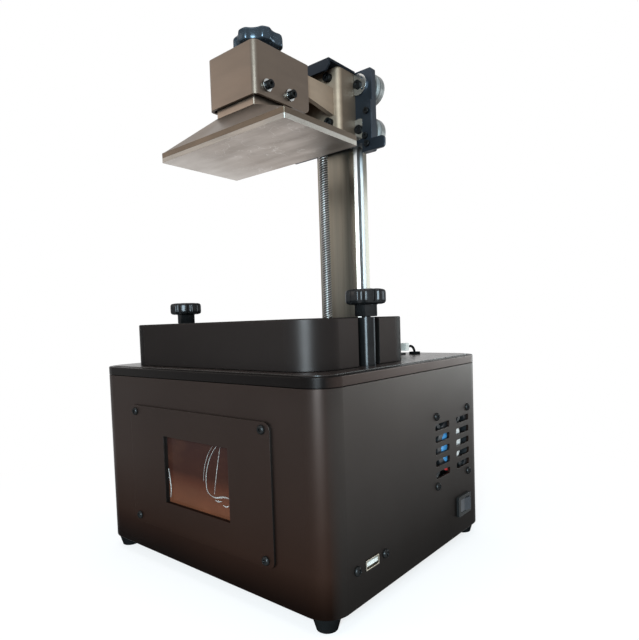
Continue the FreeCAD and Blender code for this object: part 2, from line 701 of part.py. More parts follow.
def build_column():
    half = "(column_width / 2)"
    rear = "(column_front + column_depth)"
    chamfer = "((slot_mouth - slot_neck) / 2)"
    right = [(half, "column_front"), (half, f"{COLUMN_MIDDLE} - slot_mouth / 2"),
             (f"{half} - {chamfer}", f"{COLUMN_MIDDLE} - slot_neck / 2"),
             (f"{half} - slot_depth", f"{COLUMN_MIDDLE} - slot_neck / 2"),
             (f"{half} - slot_depth", f"{COLUMN_MIDDLE} + slot_neck / 2"),
             (f"{half} - {chamfer}", f"{COLUMN_MIDDLE} + slot_neck / 2"),
             (half, f"{COLUMN_MIDDLE} + slot_mouth / 2"), (half, rear)]
    left = [(f"-({x})", y) for x, y in reversed(right)]
    bar = padded("column_bar", "XY_Plane", right + left, LEDGE, f"column_top - {LEDGE}")
    cores = []
    bolts = []
    for side in (-1, 1):
        x = f"{side} * column_width / 4"
        cores.append(cylinder(f"column_core_{side + 1}", "2.6", (x, COLUMN_MIDDLE, f"{LEDGE} - 1"),
                              f"column_top - {LEDGE} + 2"))
        bolts.append(screw(f"column_bolt_{side + 1}",
                           (x, COLUMN_MIDDLE, f"{LEDGE} - column_base_thickness"),
                           -Z_WAY, "4.2", "5", "2.5", "25", "2.2"))
    finish(cut("column", bar, cores), "column")
    plate = box("column_base_block", ("-50", "50"), ("26", "90"),
                (f"{LEDGE} - column_base_thickness", LEDGE))
    below = f"{LEDGE} - column_base_thickness - 1"
    holes = [cylinder("base_screw_bore", "11.2", ("0", "screw_place_y", below),
                      "column_base_thickness + 2")]
    for side in (-1, 1):
        holes.append(cylinder(f"base_bolt_bore_{side + 1}", "2.6",
                              (f"{side} * column_width / 4", COLUMN_MIDDLE, below),
                              "column_base_thickness + 2"))
    screws = []
    for i, (along, back) in enumerate(corners_of("motor_screw_pitch / 2", "motor_screw_pitch / 2")):
        y = f"screw_place_y + {back}"
        holes.append(cylinder(f"motor_bore_{i}", "1.6", (along, y, below), "column_base_thickness + 2"))
        holes.append(cylinder(f"motor_sink_{i}", "3.2", (along, y, f"{LEDGE} - 2.2"), "4"))
        screws.append(small_screw(f"motor_screw_{i}", (along, y, f"{LEDGE} - 2.2"), Z_WAY, "7"))
    finish(cut("column_base", plate, holes), "column_base")
    finish(group("column_bolts", bolts), "column_bolts")
    finish(group("motor_screws", screws), "motor_screws")
    motor_top = f"({LEDGE} - column_base_thickness)"
    half_motor = "(motor_size / 2)"
    case = rounded_box("motor_case", (f"-{half_motor}", half_motor),
                       (f"screw_place_y - {half_motor}", f"screw_place_y + {half_motor}"),
                       (f"{motor_top} - motor_length", motor_top), "4")
    bores = [cylinder("motor_shaft_bore", "screw_radius + 0.05",
                      ("0", "screw_place_y", f"{motor_top} - motor_length + 4"),
                      "motor_length")]
    for i, (along, back) in enumerate(corners_of("motor_screw_pitch / 2", "motor_screw_pitch / 2")):
        bores.append(cylinder(f"motor_tap_{i}", "1.6",
                              (along, f"screw_place_y + {back}", f"{motor_top} - 6"), "7"))
    finish(cut("z_motor", case, bores), "z_motor")
    finish(cylinder("lead_screw", "screw_radius", ("0", "screw_place_y", "screw_foot"),
                    "screw_top - screw_foot"),
           "lead_screw")


# Carriage plate, wheels and the limit flag

def wheel_spots():
    return [("left", -1, "middle", "((wheel_low + wheel_high) / 2)"), ("right", 1, "upper", "wheel_high"),
            ("right", 1, "lower", "wheel_low")]


def build_carriage():
    plate = rounded_box("carriage_block", ("-carriage_width / 2", "carriage_width / 2"),
                        ("carriage_front", CARRIAGE_REAR), ("carriage_foot", "carriage_top"), "2", Y_WAY)
    before = "carriage_front - 1"
    holes = [box("carriage_notch", ("-carriage_width / 2 - 1", "flag_left - 2"),
                 (before, f"{CARRIAGE_REAR} + 1"), ("carriage_foot - 1", "carriage_foot + 8"))]
    axles = []
    bushes = []
    for side_name, side, level_name, height in wheel_spots():
        name = f"{level_name}_{side_name}"
        x = f"{side} * wheel_reach"
        holes.append(cylinder(f"axle_hole_{name}", "axle_radius + 0.1", (x, before, height),
                              "carriage_thickness + 2", Y_WAY))
        bush_front = "carriage_front - bush_thickness"
        bolt = screw(f"axle_bolt_{name}", (x, bush_front, height), -Y_WAY, "3.6", "1.4", "axle_radius",
                     "25.6", "2")
        spacer = cylinder(f"axle_spacer_{name}", "4.4", (x, CARRIAGE_REAR, height),
                          f"{COLUMN_MIDDLE} - wheel_width / 2 - 0.3 - {CARRIAGE_REAR}", Y_WAY)
        nut = doc.addObject("Part::Prism", f"axle_nut_{name}")
        nut.Polygon = 6
        bind(nut, "Circumradius", "4.4")
        bind(nut, "Height", "2")
        nut.Placement.Rotation = FreeCAD.Rotation(Z_WAY, Y_WAY)
        place(nut, x, f"{COLUMN_MIDDLE} + wheel_width / 2 + 0.4", height)
        axles.append(fuse(f"axle_{name}", [bolt, spacer, nut]))
        disc = cylinder(f"bush_disc_{name}", "bush_radius", (x, bush_front, height), "bush_thickness",
                        Y_WAY)
        cuts = [cylinder(f"bush_bore_{name}", "axle_radius + 0.1", (x, f"{bush_front} - 1", height),
                         "bush_thickness + 2", Y_WAY)]
        inner_edge = ("-block_width / 2 - 0.2", "block_width / 2 + 0.2")
        cuts.append(box(f"bush_flat_{name}", inner_edge, (f"{bush_front} - 1", "carriage_front + 1"),
                        ("block_foot", "carriage_top")))
        if (side, level_name) == (1, "lower"):
            cuts.append(box(f"bush_outer_flat_{name}", ("flag_left - 0.2", "flag_right"),
                            (f"{bush_front} - 1", "carriage_front + 1"), ("carriage_foot",
                                                                          "carriage_top")))
        for i in range(4):
            turn = math.radians(45 + 90 * i)
            cuts.append(cylinder(f"bush_eye_{name}_{i}", "0.9",
                                 (f"{x} + bush_radius * {0.72 * math.cos(turn):.4f}", f"{bush_front} - 1",
                                  f"{height} + bush_radius * {0.72 * math.sin(turn):.4f}"),
                                 "bush_thickness + 2", Y_WAY))
        bushes.append(cut(f"bush_{name}", disc, cuts))
        half = "(wheel_width / 2)"
        step = "((wheel_width - wheel_flat) / 2)"
        wheel = turned(f"wheel_{name}", "XY_Plane",
                       [("axle_radius + 0.06", f"-{half}"), (f"wheel_radius - {step}", f"-{half}"),
                        ("wheel_radius", "-wheel_flat / 2"), ("wheel_radius", "wheel_flat / 2"),
                        (f"wheel_radius - {step}", half), ("axle_radius + 0.06", half)],
                       x, COLUMN_MIDDLE, height)
        finish(wheel, f"wheel_{name}")
    screws = []
    for i, (along, height) in enumerate(arm_screw_spots()):
        holes.append(cylinder(f"carriage_arm_hole_{i}", "2.1", (along, before, height),
                              "carriage_thickness + 2", Y_WAY))
        screws.append(cap_screw(f"arm_screw_{i}", (along, "block_front", height), -Y_WAY, "26"))
    finish(group("arm_screws", screws), "arm_screws")
    flag_front = "carriage_front - flag_thickness"
    flag_holes = []
    flag_screws = []
    for i, (x, height) in enumerate([("40.5", "346"), ("39", "326"), ("40.5", "319.5")]):
        holes.append(cylinder(f"flag_tap_{i}", "1.6", (x, before, height), "carriage_thickness + 2",
                              Y_WAY))
        flag_holes.append(cylinder(f"flag_hole_{i}", "1.6", (x, f"{flag_front} - 1", height),
                                   "flag_thickness + 2", Y_WAY))
        flag_screws.append(screw(f"flag_screw_{i}", (x, flag_front, height), -Y_WAY, "2.5", "2", "1.5",
                                 "7", "1.2"))
    finish(cut("carriage_plate", plate, holes), "carriage_plate")
    finish(group("wheel_axles", axles), "wheel_axles")
    finish(group("wheel_bushes", bushes), "wheel_bushes")
    edge = "(carriage_width / 2)"
    flag = padded("flag_sheet", "XZ_Plane",
                  [("flag_left", "carriage_foot - 0.5"), ("flag_right", "carriage_foot - 0.5"),
                   ("flag_right", "carriage_foot + 9"), (edge, "carriage_foot + 9"), (edge, "354"),
                   ("flag_left", "354")],
                  "-carriage_front", "flag_thickness")
    round_edges(flag, runs_along(Y_WAY, lambda middle: middle.x > DIMENSIONS["flag_right"] - 0.1), "3")
    finish(cut("limit_flag", flag, flag_holes), "limit_flag")
    return flag_screws


# Cantilever arm, its cover and the lead nut

def arm_screw_spots():
    return [(f"{side} * arm_screw_reach", height) for side in (-1, 1) for height in ("372.5", "336.6")]


def build_arm():
    block = rounded_box("arm_block", ("-block_width / 2", "block_width / 2"),
                        ("block_front", "carriage_front"),
                        ("block_foot", "block_top"), "block_radius", Z_WAY, lambda middle: middle.y < 1)
    beam = padded("arm_beam", "YZ_Plane",
                  [("block_front + 1", "beam_root_foot"), ("block_front + 1", "beam_top"),
                   ("beam_nose", "beam_top"),
                   ("beam_nose", "beam_foot"), ("cap_rear + 3", "beam_foot")],
                  f"-{BEAM_SIDE}", "beam_width")
    hollow = box("arm_hollow", (f"beam_wall - {BEAM_SIDE}", f"{BEAM_SIDE} - beam_wall"),
                 ("beam_nose + beam_wall", "block_front"), ("beam_root_foot - 2",
                                                            "beam_top - beam_wall - 1"))
    holes = [hollow, cylinder("arm_screw_bore", "screw_radius + 1.4",
                              ("0", "screw_place_y", "block_foot - 1"),
                              "block_top - block_foot + 2")]
    for i, (along, height) in enumerate(arm_screw_spots()):
        holes.append(cylinder(f"arm_hole_{i}", "2.1", (along, "block_front - 1", height),
                              "carriage_front - block_front + 2", Y_WAY))
    finish(cut("arm", fuse("arm_casting", [block, beam]), holes), "arm")
    half = "(cover_width / 2)"
    top = "(block_top + cover_sheet)"
    roof = box("cover_roof", (f"-{half}", half), ("cover_front", "carriage_front - 0.3"),
               ("block_top", top))
    lip = padded("cover_lip_sheet", "XZ_Plane",
                 [(f"-{half}", top), (f"-{half}", f"{top} - cover_lip + 4"),
                  (f"4 - {half}", f"{top} - cover_lip"),
                  (f"{half} - 4", f"{top} - cover_lip"), (half, f"{top} - cover_lip + 4"), (half, top)],
                 "-cover_front - cover_sheet", "cover_sheet")
    cover_holes = [cylinder("cover_screw_bore", "screw_radius + 2",
                            ("0", "screw_place_y", "block_top - 1"),
                            "cover_sheet + 2")]
    cover_screws = []
    for side in (-1, 1):
        x = f"{side} * cover_width / 3"
        cover_holes.append(cylinder(f"cover_bore_{side + 1}", "1.6",
                                    (x, "screw_place_y", "block_top - 1"),
                                    "cover_sheet + 2"))
        cover_screws.append(small_screw(f"cover_screw_{side + 1}", (x, "screw_place_y", top), Z_WAY,
                                        "cover_sheet"))
    finish(cut("arm_cover", fuse("cover_sheet_bent", [roof, lip]), cover_holes), "arm_cover")
    nut = fuse("nut_body", [
        cylinder("nut_flange", "9.8", ("0", "screw_place_y", "block_foot - 3.5"), "3.5"),
        cylinder("nut_barrel", "screw_radius + 1.3", ("0", "screw_place_y", "block_foot - 1"), "13")])
    nut_bore = cylinder("nut_bore", "screw_radius + running_gap",
                        ("0", "screw_place_y", "block_foot - 5"), "20")
    finish(cut("lead_nut", nut, [nut_bore]), "lead_nut")
    return cover_screws


# Clamp cap with its knob, and the platform that hangs in it

def build_cap():
    xs, ys = (f"-{CAP_SIDE}", CAP_SIDE), ("cap_front", "cap_rear")
    outer = rounded_box("cap_block", xs, ys, ("cap_foot", "cap_top"), "cap_radius", Z_WAY,
                        lambda middle: middle.y < 1)
    rear_foot = runs_along(X_WAY, lambda middle: middle.y > 50 and middle.z < 1)
    round_edges(outer, rear_foot, "cap_radius")
    inner = rounded_box("cap_hollow", (f"cap_sheet - {CAP_SIDE}", f"{CAP_SIDE} - cap_sheet"),
                        ("cap_front + cap_sheet", "cap_rear + 5"), ("cap_foot - 5",
                                                                    "cap_top - cap_sheet"),
                        "cap_radius - cap_sheet", Z_WAY, lambda middle: middle.y < 1)
    stud_hole = cylinder("cap_stud_hole", "4.5", ("0", "clamp_place_y", "cap_top - 5"), "10")
    holes = [inner, stud_hole]
    screws = []
    washers = []
    for side, way in ((-1, -X_WAY), (1, X_WAY)):
        for end in (-1, 1):
            name = f"{side + 1}_{end + 1}"
            y = f"vat_middle + {end} * level_screw_reach"
            start = f"{side} * ({CAP_SIDE} - cap_sheet - 1)"
            holes.append(cylinder(f"cap_slot_{name}", "3", (start, y, "level_screw_height"),
                                  "cap_sheet + 2", way))
            face = f"{side} * ({CAP_SIDE} + running_gap)"
            washer = cylinder(f"level_washer_disc_{name}", "4.2", (face, y, "level_screw_height"), "0.8",
                              way)
            eye = cylinder(f"level_washer_eye_{name}", "2.05",
                           (f"{side} * ({CAP_SIDE} - 1)", y, "level_screw_height"),
                           "4", way)
            washers.append(cut(f"level_washer_{name}", washer, [eye]))
            screws.append(screw(f"level_screw_{name}", (f"{side} * ({CAP_SIDE} + running_gap + 0.8)", y,
                                                        "level_screw_height"), way,
                                "2.9", "3.6", "2", "13", "1.6"))
    finish(group("level_screws", screws), "level_screws")
    finish(group("level_washers", washers), "level_washers")
    plate = box("clamp_plate_block", ("-20", "20"), ("clamp_place_y - 18", "clamp_place_y + 18"),
                ("cap_top - cap_sheet - 3.3", "cap_top - cap_sheet"))
    plate_bore = cylinder("clamp_plate_bore", "4.06", ("0", "clamp_place_y", "cap_top - 10"), "12")
    nut_plate = cut("clamp_plate", plate, [plate_bore])
    finish(fuse("clamp_cap", [cut("cap_sheet_bent", outer, holes), nut_plate]), "clamp_cap")


def knob_grip(name, radius, height, x, y, foot, count, flute_radius, flute_reach, first_turn):
    """A round grip with hollow flutes between its lobes."""
    disc = cylinder(f"{name}_disc", radius, (x, y, foot), height)
    flutes = []
    for i in range(count):
        turn = math.radians(first_turn + 360 / count * i)
        flutes.append(cylinder(f"{name}_flute_{i}", flute_radius,
                               (f"{x} + ({radius}) * {flute_reach * math.cos(turn):.5f}",
                                f"{y} + ({radius}) * {flute_reach * math.sin(turn):.5f}", f"{foot} - 1"),
                               f"{height} + 2"))
    return cut(name, disc, flutes)


def build_knobs():
    grip = knob_grip("clamp_grip", "clamp_grip_radius", "clamp_grip_height", "0", "clamp_place_y",
                     "clamp_grip_foot",
                     6, "8.5", 1.26, 5)
    hub = cylinder("clamp_hub", "clamp_hub_radius", ("0", "clamp_place_y", "cap_top + running_gap"),
                   "clamp_grip_foot - cap_top + 2")
    stud = cylinder("clamp_stud", "4", ("0", "clamp_place_y", "beam_top + running_gap"),
                    "cap_top - beam_top + 4")
    finish(fuse("clamp_knob", [grip, hub, stud]), "clamp_knob")
    top = f"({VAT_TOP} + running_gap)"
    for side_name, side in (("left", -1), ("right", 1)):
        x = f"{side} * post_reach"
        name = f"vat_knob_{side_name}"
        grip_foot = f"{top} + vat_knob_height - vat_knob_grip_height"
        grip = knob_grip(f"{name}_grip", "vat_knob_radius", "vat_knob_grip_height", x, "vat_middle",
                         grip_foot,
                         8, "2.2", 1.05, 22.5)
        hub = cylinder(f"{name}_hub", "vat_knob_hub_radius", (x, "vat_middle", top),
                       "vat_knob_height - 2")
        stud = cylinder(f"{name}_stud", "3", (x, "vat_middle", f"{top} - 20"), "24")
        finish(fuse(name, [grip, hub, stud]), name)


def build_platform():
    half_x, half_y = "(platform_length / 2)", "(platform_width / 2)"
    xs = (f"-{half_x}", half_x)
    ys = (f"vat_middle - {half_y}", f"vat_middle + {half_y}")
    finish(rounded_box("platform_slab", xs, ys, ("platform_foot", SLAB_TOP), "1"), "platform_slab")
    flange = rounded_box("platform_flange", xs, ys, (SLAB_TOP, FLANGE_TOP), "1")
    slope = doc.addObject("Part::Wedge", "platform_slope")
    neck = "(neck_size / 2)"
    sizes = {"Xmin": f"0.6 - {half_x}", "Xmax": f"{half_x} - 0.6", "Zmin": f"0.6 - {half_y}",
             "Zmax": f"{half_y} - 0.6",
             "X2min": f"-{neck}", "X2max": neck, "Z2min": f"-{neck}", "Z2max": neck,
             "Ymin": "0", "Ymax": f"neck_foot - {FLANGE_TOP}"}
    for prop, formula in sizes.items():
        bind(slope, prop, formula)
    slope.Placement.Rotation = FreeCAD.Rotation(X_WAY, 90)
    place(slope, "0", "vat_middle", FLANGE_TOP)
    post = rounded_box("platform_neck", (f"-{neck}", neck),
                       (f"vat_middle - {neck}", f"vat_middle + {neck}"),
                       ("neck_foot - 1", "neck_top"), "1.5")
    bores = []
    for side, way in ((-1, X_WAY), (1, -X_WAY)):
        for end in (-1, 1):
            bores.append(cylinder(f"neck_bore_{side + 1}_{end + 1}", "2.05",
                                  (f"{side} * {CAP_SIDE}", f"vat_middle + {end} * level_screw_reach",
                                   "level_screw_height"), "16", way))
    finish(cut("platform_body", fuse("platform_casting", [flange, slope, post]), bores), "platform_body")


# Vat with its film, and the posts that hold it

def build_vat():
    half_x, half_y = "(vat_length / 2)", "(vat_width / 2)"
    ys = (f"vat_middle - {half_y}", f"vat_middle + {half_y}")
    tub = rounded_box("vat_tub", (f"-{half_x}", half_x), ys, (VAT_FOOT, VAT_TOP), "vat_radius")
    round_edges(tub, lambda edge: edge.BoundBox.ZMin > DIMENSIONS["vat_height"] - 0.001, "1")
    bowl_x, bowl_y = "(vat_bowl_length / 2)", "(vat_bowl_width / 2)"
    bowl = rounded_box("vat_bowl", (f"-{bowl_x}", bowl_x),
                       (f"vat_middle - {bowl_y}", f"vat_middle + {bowl_y}"),
                       (f"{VAT_FOOT} - 1", f"{VAT_TOP} + 1"), "vat_bowl_radius")
    frame_x, frame_y = "(film_frame_length / 2)", "(film_frame_width / 2)"
    film_foot = f"({VAT_FOOT} + 0.2 + film_frame_height)"
    film_top = f"({film_foot} + film_thickness)"
    seat = rounded_box("vat_film_seat", (f"-{frame_x} - 0.3", f"{frame_x} + 0.3"),
                       (f"vat_middle - {frame_y} - 0.3", f"vat_middle + {frame_y} + 0.3"),
                       (f"{VAT_FOOT} - 1", film_top), "6")
    holes = [bowl, seat]
    posts = []
    for side in (-1, 1):
        x = f"{side} * post_reach"
        inner = f"{side} * (post_reach - notch_depth)"
        outer = f"{side} * ({half_x} + 10)"
        notch_x = (inner, outer) if side > 0 else (outer, inner)
        holes.append(rounded_box(f"vat_notch_{side + 1}", notch_x,
                                 ("vat_middle - notch_half_width", "vat_middle + notch_half_width"),
                                 (f"{VAT_FOOT} - 1", f"{VAT_TOP} + 1"), "5"))
        post = cylinder(f"vat_post_bar_{side + 1}", "post_radius", (x, "vat_middle", DECK),
                        "vat_height + vat_float - 0.2")
        tap = cylinder(f"vat_post_tap_{side + 1}", "3.3", (x, "vat_middle", f"{VAT_TOP} - 24"), "30")
        posts.append(cut(f"vat_post_{side + 1}", post, [tap]))
    finish(cut("vat_tank", tub, holes), "vat_tank")
    finish(group("vat_posts", posts), "vat_posts")
    film_ys = (f"vat_middle - {frame_y}", f"vat_middle + {frame_y}")
    finish(rounded_box("release_film", (f"-{frame_x}", frame_x), film_ys, (film_foot, film_top), "6"),
           "release_film")
    frame = rounded_box("film_frame_block", (f"-{frame_x}", frame_x), film_ys,
                        (f"{film_foot} - film_frame_height", film_foot), "6")
    opening = rounded_box("film_frame_opening", (f"1 - {bowl_x}", f"{bowl_x} - 1"),
                          (f"vat_middle - {bowl_y} + 1", f"vat_middle + {bowl_y} - 1"),
                          (f"{film_foot} - film_frame_height - 1", f"{film_foot} + 1"), "vat_bowl_radius")
    finish(cut("film_frame", frame, [opening]), "film_frame")


# Limit switch on the deck, with its lever, plug and cable

def build_limit():
    right = "(limit_left + limit_length)"
    rear = "(limit_front + limit_depth)"
    top = "(limit_foot + limit_height)"
    middle = "(limit_front + limit_depth / 2)"
    strip = box("lever_strip", ("limit_left + 2", f"{right} - 1"), (f"{middle} - 1.5", f"{middle} + 1.5"),
                (f"{top} + 1.4", f"{top} + 1.9"))
    pin = cylinder("lever_pin", "0.7", ("limit_left + 2", f"{middle} - 2.2", f"{top} + 1.6"), "4.4", Y_WAY)
    finish(fuse("limit_lever", [strip, pin]), "limit_lever")
    upright = box("limit_bracket_upright", ("limit_left", right), (rear, f"{rear} + 1.5"), (DECK, top))
    sole = box("limit_bracket_sole", ("limit_left", right), (rear, f"{rear} + 9"),
               (DECK, f"{DECK} + 1.5"))
    case = box("limit_case", ("limit_left", right), ("limit_front", rear), ("limit_foot", top))
    finish(fuse("limit_switch", [case, upright, sole]), "limit_switch")
    plug = box("limit_plug", (right, f"{right} + 9"), (f"{middle} - 2.5", f"{middle} + 2.5"),
               ("limit_foot", "limit_foot + 6"))
    finish(plug, "limit_plug")
    ring = cylinder("grommet_ring", "4.5", ("grommet_x", "grommet_y", DECK), "2")
    stem = cylinder("grommet_stem", "2.95", ("grommet_x", "grommet_y", f"{DECK} - 3"), "4")
    eye = cylinder("grommet_eye", "cable_radius + 0.4", ("grommet_x", "grommet_y", f"{DECK} - 5"), "10")
    finish(cut("cable_grommet", fuse("grommet_body", [ring, stem]), [eye]), "cable_grommet")
    finish(cable("limit_cable"), "limit_cable")


def cable(name):
    """The switch's cable: out of the back of the plug and down through the grommet in one bend."""
    size = DIMENSIONS
    deck = size["foot_height"] + size["base_height"] + size["deck_rise"]
    start = FreeCAD.Vector(size["grommet_x"], size["limit_front"] + size["limit_depth"] / 2 + 2.5,
                           size["limit_foot"] + 3)
    foot = FreeCAD.Vector(size["grommet_x"], size["grommet_y"], deck - 8)
    corner = FreeCAD.Vector(foot.x, foot.y, start.z)
    first = corner - Y_WAY * size["cable_bend"]
    last = corner - Z_WAY * size["cable_bend"]
    middle = first - Z_WAY * size["cable_bend"]
    crown = middle + (Y_WAY + Z_WAY).normalize() * size["cable_bend"]
    edges = [Part.makeLine(start, first), Part.Arc(first, crown, last).toShape(), Part.makeLine(last, foot)]
    path = Part.Wire(edges)
    heading = edges[0].tangentAt(edges[0].FirstParameter)
    ring = Part.Wire(Part.makeCircle(size["cable_radius"], start, heading))
    thing = doc.addObject("Part::Feature", name)
    thing.Shape = path.makePipeShell([ring], True, False)
    thing.Placement = FreeCAD.Placement()
    share = thing.Shape.Volume / (math.pi * size["cable_radius"] ** 2 * path.Length)
    print(f"{name}: length {path.Length:.1f}, volume over section times length {share:.3f}")
    return thing


build_base()
build_lid()
standoffs = build_light_engine() + build_board()
case_screws = build_front() + build_fan() + build_ports()
build_column()
carriage_screws = build_carriage() + build_arm()
build_cap()
build_knobs()
build_platform()
build_vat()
build_limit()
finish(group("standoffs", standoffs), "standoffs")
finish(group("case_screws", case_screws), "case_screws")
finish(group("carriage_screws", carriage_screws), "carriage_screws")
doc.recompute()

failed = [thing.Name for thing in doc.Objects if {"Invalid", "Error"} & set(thing.State)]
if failed:
    raise RuntimeError(f"these objects failed: {failed}")
for thing in subparts:
    if thing.Shape.isNull() or not thing.Shape.isValid():
        raise RuntimeError(f"{thing.Label} has no valid shape")

os.makedirs("parts", exist_ok=True)
for thing in subparts:
    thing.Shape.exportStep(f"parts/{thing.Label}.step")
    print(f"{thing.Label}: {len(thing.Shape.Solids)} solid, {thing.Shape.Volume:.0f} mm3")
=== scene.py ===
import math

import bpy
from mathutils import Matrix, Vector


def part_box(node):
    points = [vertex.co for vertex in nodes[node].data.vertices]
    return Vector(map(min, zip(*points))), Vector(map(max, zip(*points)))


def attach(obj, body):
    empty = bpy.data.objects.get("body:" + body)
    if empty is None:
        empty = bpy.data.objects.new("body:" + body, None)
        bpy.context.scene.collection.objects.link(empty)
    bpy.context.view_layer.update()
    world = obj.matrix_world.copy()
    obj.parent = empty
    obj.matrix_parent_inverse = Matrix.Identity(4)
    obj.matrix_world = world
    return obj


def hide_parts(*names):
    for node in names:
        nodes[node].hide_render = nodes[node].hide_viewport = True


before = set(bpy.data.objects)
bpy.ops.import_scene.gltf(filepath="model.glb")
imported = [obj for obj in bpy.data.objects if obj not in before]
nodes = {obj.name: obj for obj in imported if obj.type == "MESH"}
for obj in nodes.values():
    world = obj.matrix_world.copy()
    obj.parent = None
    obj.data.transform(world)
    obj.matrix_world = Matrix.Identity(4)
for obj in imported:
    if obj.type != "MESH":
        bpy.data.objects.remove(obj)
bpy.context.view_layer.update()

# Looks of the resin printer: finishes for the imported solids, and modelled meshes
# for the thread, knobs, wheels, screw heads, screen film and fan label.
# Lengths below are millimetres unless a name says otherwise.

MM = 0.001

# Camera, solved from the photograph's straight edges
PHOTO_SIDE = 640
PHOTO_WIDTH = 639
FOCAL_PIXELS = 537.4
OPTICAL_CENTRE = (313.97, 349.38)
SENSOR = 36.0
CAMERA_PLACE = Vector((293.5, -317.7, 174.3)) * MM
CAMERA_RIGHT = Vector((0.76388, 0.64449, -0.03346))
CAMERA_UP = Vector((-0.00721, 0.06037, 0.99815))
CAMERA_BACK = Vector((0.64532, -0.76223, 0.05077))

# Light levels
AMBIENT = 0.35
BACKGROUND = 1.0

# The floor goes from a share of white, near the part, to plain white between these distances, in metres
SHADOW_REACH = (0.16, 0.42)
NEAR_GLOW = 0.72

# Half the floor's side, in metres
FLOOR_REACH = 6.0


def middle_of(node):
    low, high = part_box(node)
    return (low + high) * 0.5 / MM


# Node materials

class Finish:
    """A material whose patterns lie in the part's own space and drive one shader."""

    def __init__(self, name, **constants):
        self.made = bpy.data.materials.new(name)
        self.made.use_nodes = True
        self.tree = self.made.node_tree
        self.shader = self.tree.nodes["Principled BSDF"]
        self.normal = None
        for word, value in constants.items():
            self.shader.inputs[word.replace("_", " ")].default_value = value

    def add(self, kind, inputs=(), **settings):
        node = self.tree.nodes.new(kind)
        for name, value in settings.items():
            setattr(node, name, value)
        for name, value in dict(inputs).items():
            if isinstance(value, bpy.types.NodeSocket):
                self.tree.links.new(value, node.inputs[name])
            else:
                node.inputs[name].default_value = value
        return node

    def space(self, stretch=(1, 1, 1), shift=(0, 0, 0)):
        place = self.add("ShaderNodeTexCoord").outputs["Object"]
        inputs = {"Vector": place, "Scale": stretch, "Location": shift}
        return self.add("ShaderNodeMapping", inputs).outputs[0]

    def noise(self, scale, detail=4.0, stretch=(1, 1, 1), shift=(0, 0, 0)):
        inputs = {"Vector": self.space(stretch, shift), "Scale": scale, "Detail": detail}
        return self.add("ShaderNodeTexNoise", inputs).outputs[0]

    def ramp(self, source, stops):
        node = self.add("ShaderNodeValToRGB", {"Fac": source})
        elements = node.color_ramp.elements
        while len(elements) < len(stops):
            elements.new(0.5)
        for element, (spot, colour) in zip(elements, stops):
            element.position = spot
            element.color = (*colour, 1.0)
        return node.outputs["Color"]

    def blend(self, share, first, second):
        """first where share is 0, second where it is 1."""
        node = self.add("ShaderNodeMix", data_type="RGBA")
        self.tree.links.new(share, node.inputs["Factor"])
        self.tree.links.new(first, node.inputs[6])
        self.tree.links.new(second, node.inputs[7])
        return node.outputs[2]

    def spread(self, source, low, high, first=0.3, last=0.7):
        """A value from low to high as source goes from first to last."""
        return self.add("ShaderNodeMapRange", {"Value": source, "From Min": first, "From Max": last,
                                               "To Min": low, "To Max": high}).outputs[0]

    def axis(self, letter, low, high, centre=(0, 0, 0)):
        """A value from 0 to 1 between two places along an axis, in millimetres."""
        split = self.add("ShaderNodeSeparateXYZ", {"Vector": self.space(shift=Vector(centre) * -MM)})
        return self.spread(split.outputs[letter], 0.0, 1.0, low * MM, high * MM)

    def facing(self, letter, low, high):
        """A value from 0 to 1 as the surface's direction along an axis goes from low to high."""
        normal = self.add("ShaderNodeNewGeometry").outputs["Normal"]
        split = self.add("ShaderNodeSeparateXYZ", {"Vector": normal})
        return self.spread(split.outputs[letter], 0.0, 1.0, low, high)

    def color(self, source):
        self.tree.links.new(source, self.shader.inputs["Base Color"])

    def rough(self, source, low, high):
        self.tree.links.new(self.spread(source, low, high), self.shader.inputs["Roughness"])

    def edges(self, radius):
        """Catch the light on sharp edges as a small round would."""
        self.normal = self.add("ShaderNodeBevel", {"Radius": radius * MM}, samples=4).outputs[0]
        self.tree.links.new(self.normal, self.shader.inputs["Normal"])

    def relief(self, source, depth, strength=1.0):
        inputs = {"Height": source, "Distance": depth * MM, "Strength": strength}
        if self.normal is not None:
            inputs["Normal"] = self.normal
        self.normal = self.add("ShaderNodeBump", inputs).outputs[0]
        self.tree.links.new(self.normal, self.shader.inputs["Normal"])


def tone(level, tint=(1.0, 1.0, 1.0)):
    return tuple(level * part for part in tint)


# Tints
WARM = (1.0, 0.70, 0.60)
# The tint of the case's foot, which is painted shade
SHADED_FOOT_TINT = (1.0, 0.46, 0.30)
BRONZE = (1.0, 0.78, 0.62)
OLIVE = (1.0, 0.93, 0.78)
# The blue of the black carriage and its cover is a painted reflection of the sky
SKY_BLUE_REFLECTION = (0.72, 0.87, 1.1)
PLAIN = (1.0, 1.0, 1.0)
BRASSY = (1.0, 0.76, 0.56)
NEUTRAL = (1.0, 0.84, 0.79)
# The tint of the case's right faces, which are painted lighter as lit
LIT_RIGHT_TINT = (1.0, 0.85, 0.77)
SMOKY = (1.0, 0.96, 0.90)
FILM_TINT = (1.0, 0.93, 0.87)

# How much of the room a coat mirrors at a glancing angle; FOOT_RIM, the smaller share near the case's foot,
# is painted shade
FOOT_RIM = 0.44
DULL_RIM = 0.30
CLEAR_RIM = 0.68

# Heights between which the coat goes from its low colour, a painted shade, to its high colour, and out of a
# deeper painted shade at the foot
COAT_RISE = (15.0, 125.0)
SHADE_RISE = (12.0, 34.0)

# How a pattern is scaled along X, Y and Z: level streaks on the arm, the cap and the platform,
# upright lines on the column, and short upright streaks on turned parts
ARM_STREAK = (0.25, 0.25, 1.0)
DRAWN_STREAK = (1.0, 1.0, 0.004)
TURNED_STREAK = (1.0, 1.0, 0.2)

# The flange's height above the slab, the front of the arm's block along Y, and half a wheel's thickness
FLANGE_HEIGHT = 3.8
BLOCK_FRONT = 37.8
WHEEL_HALF = 5.1


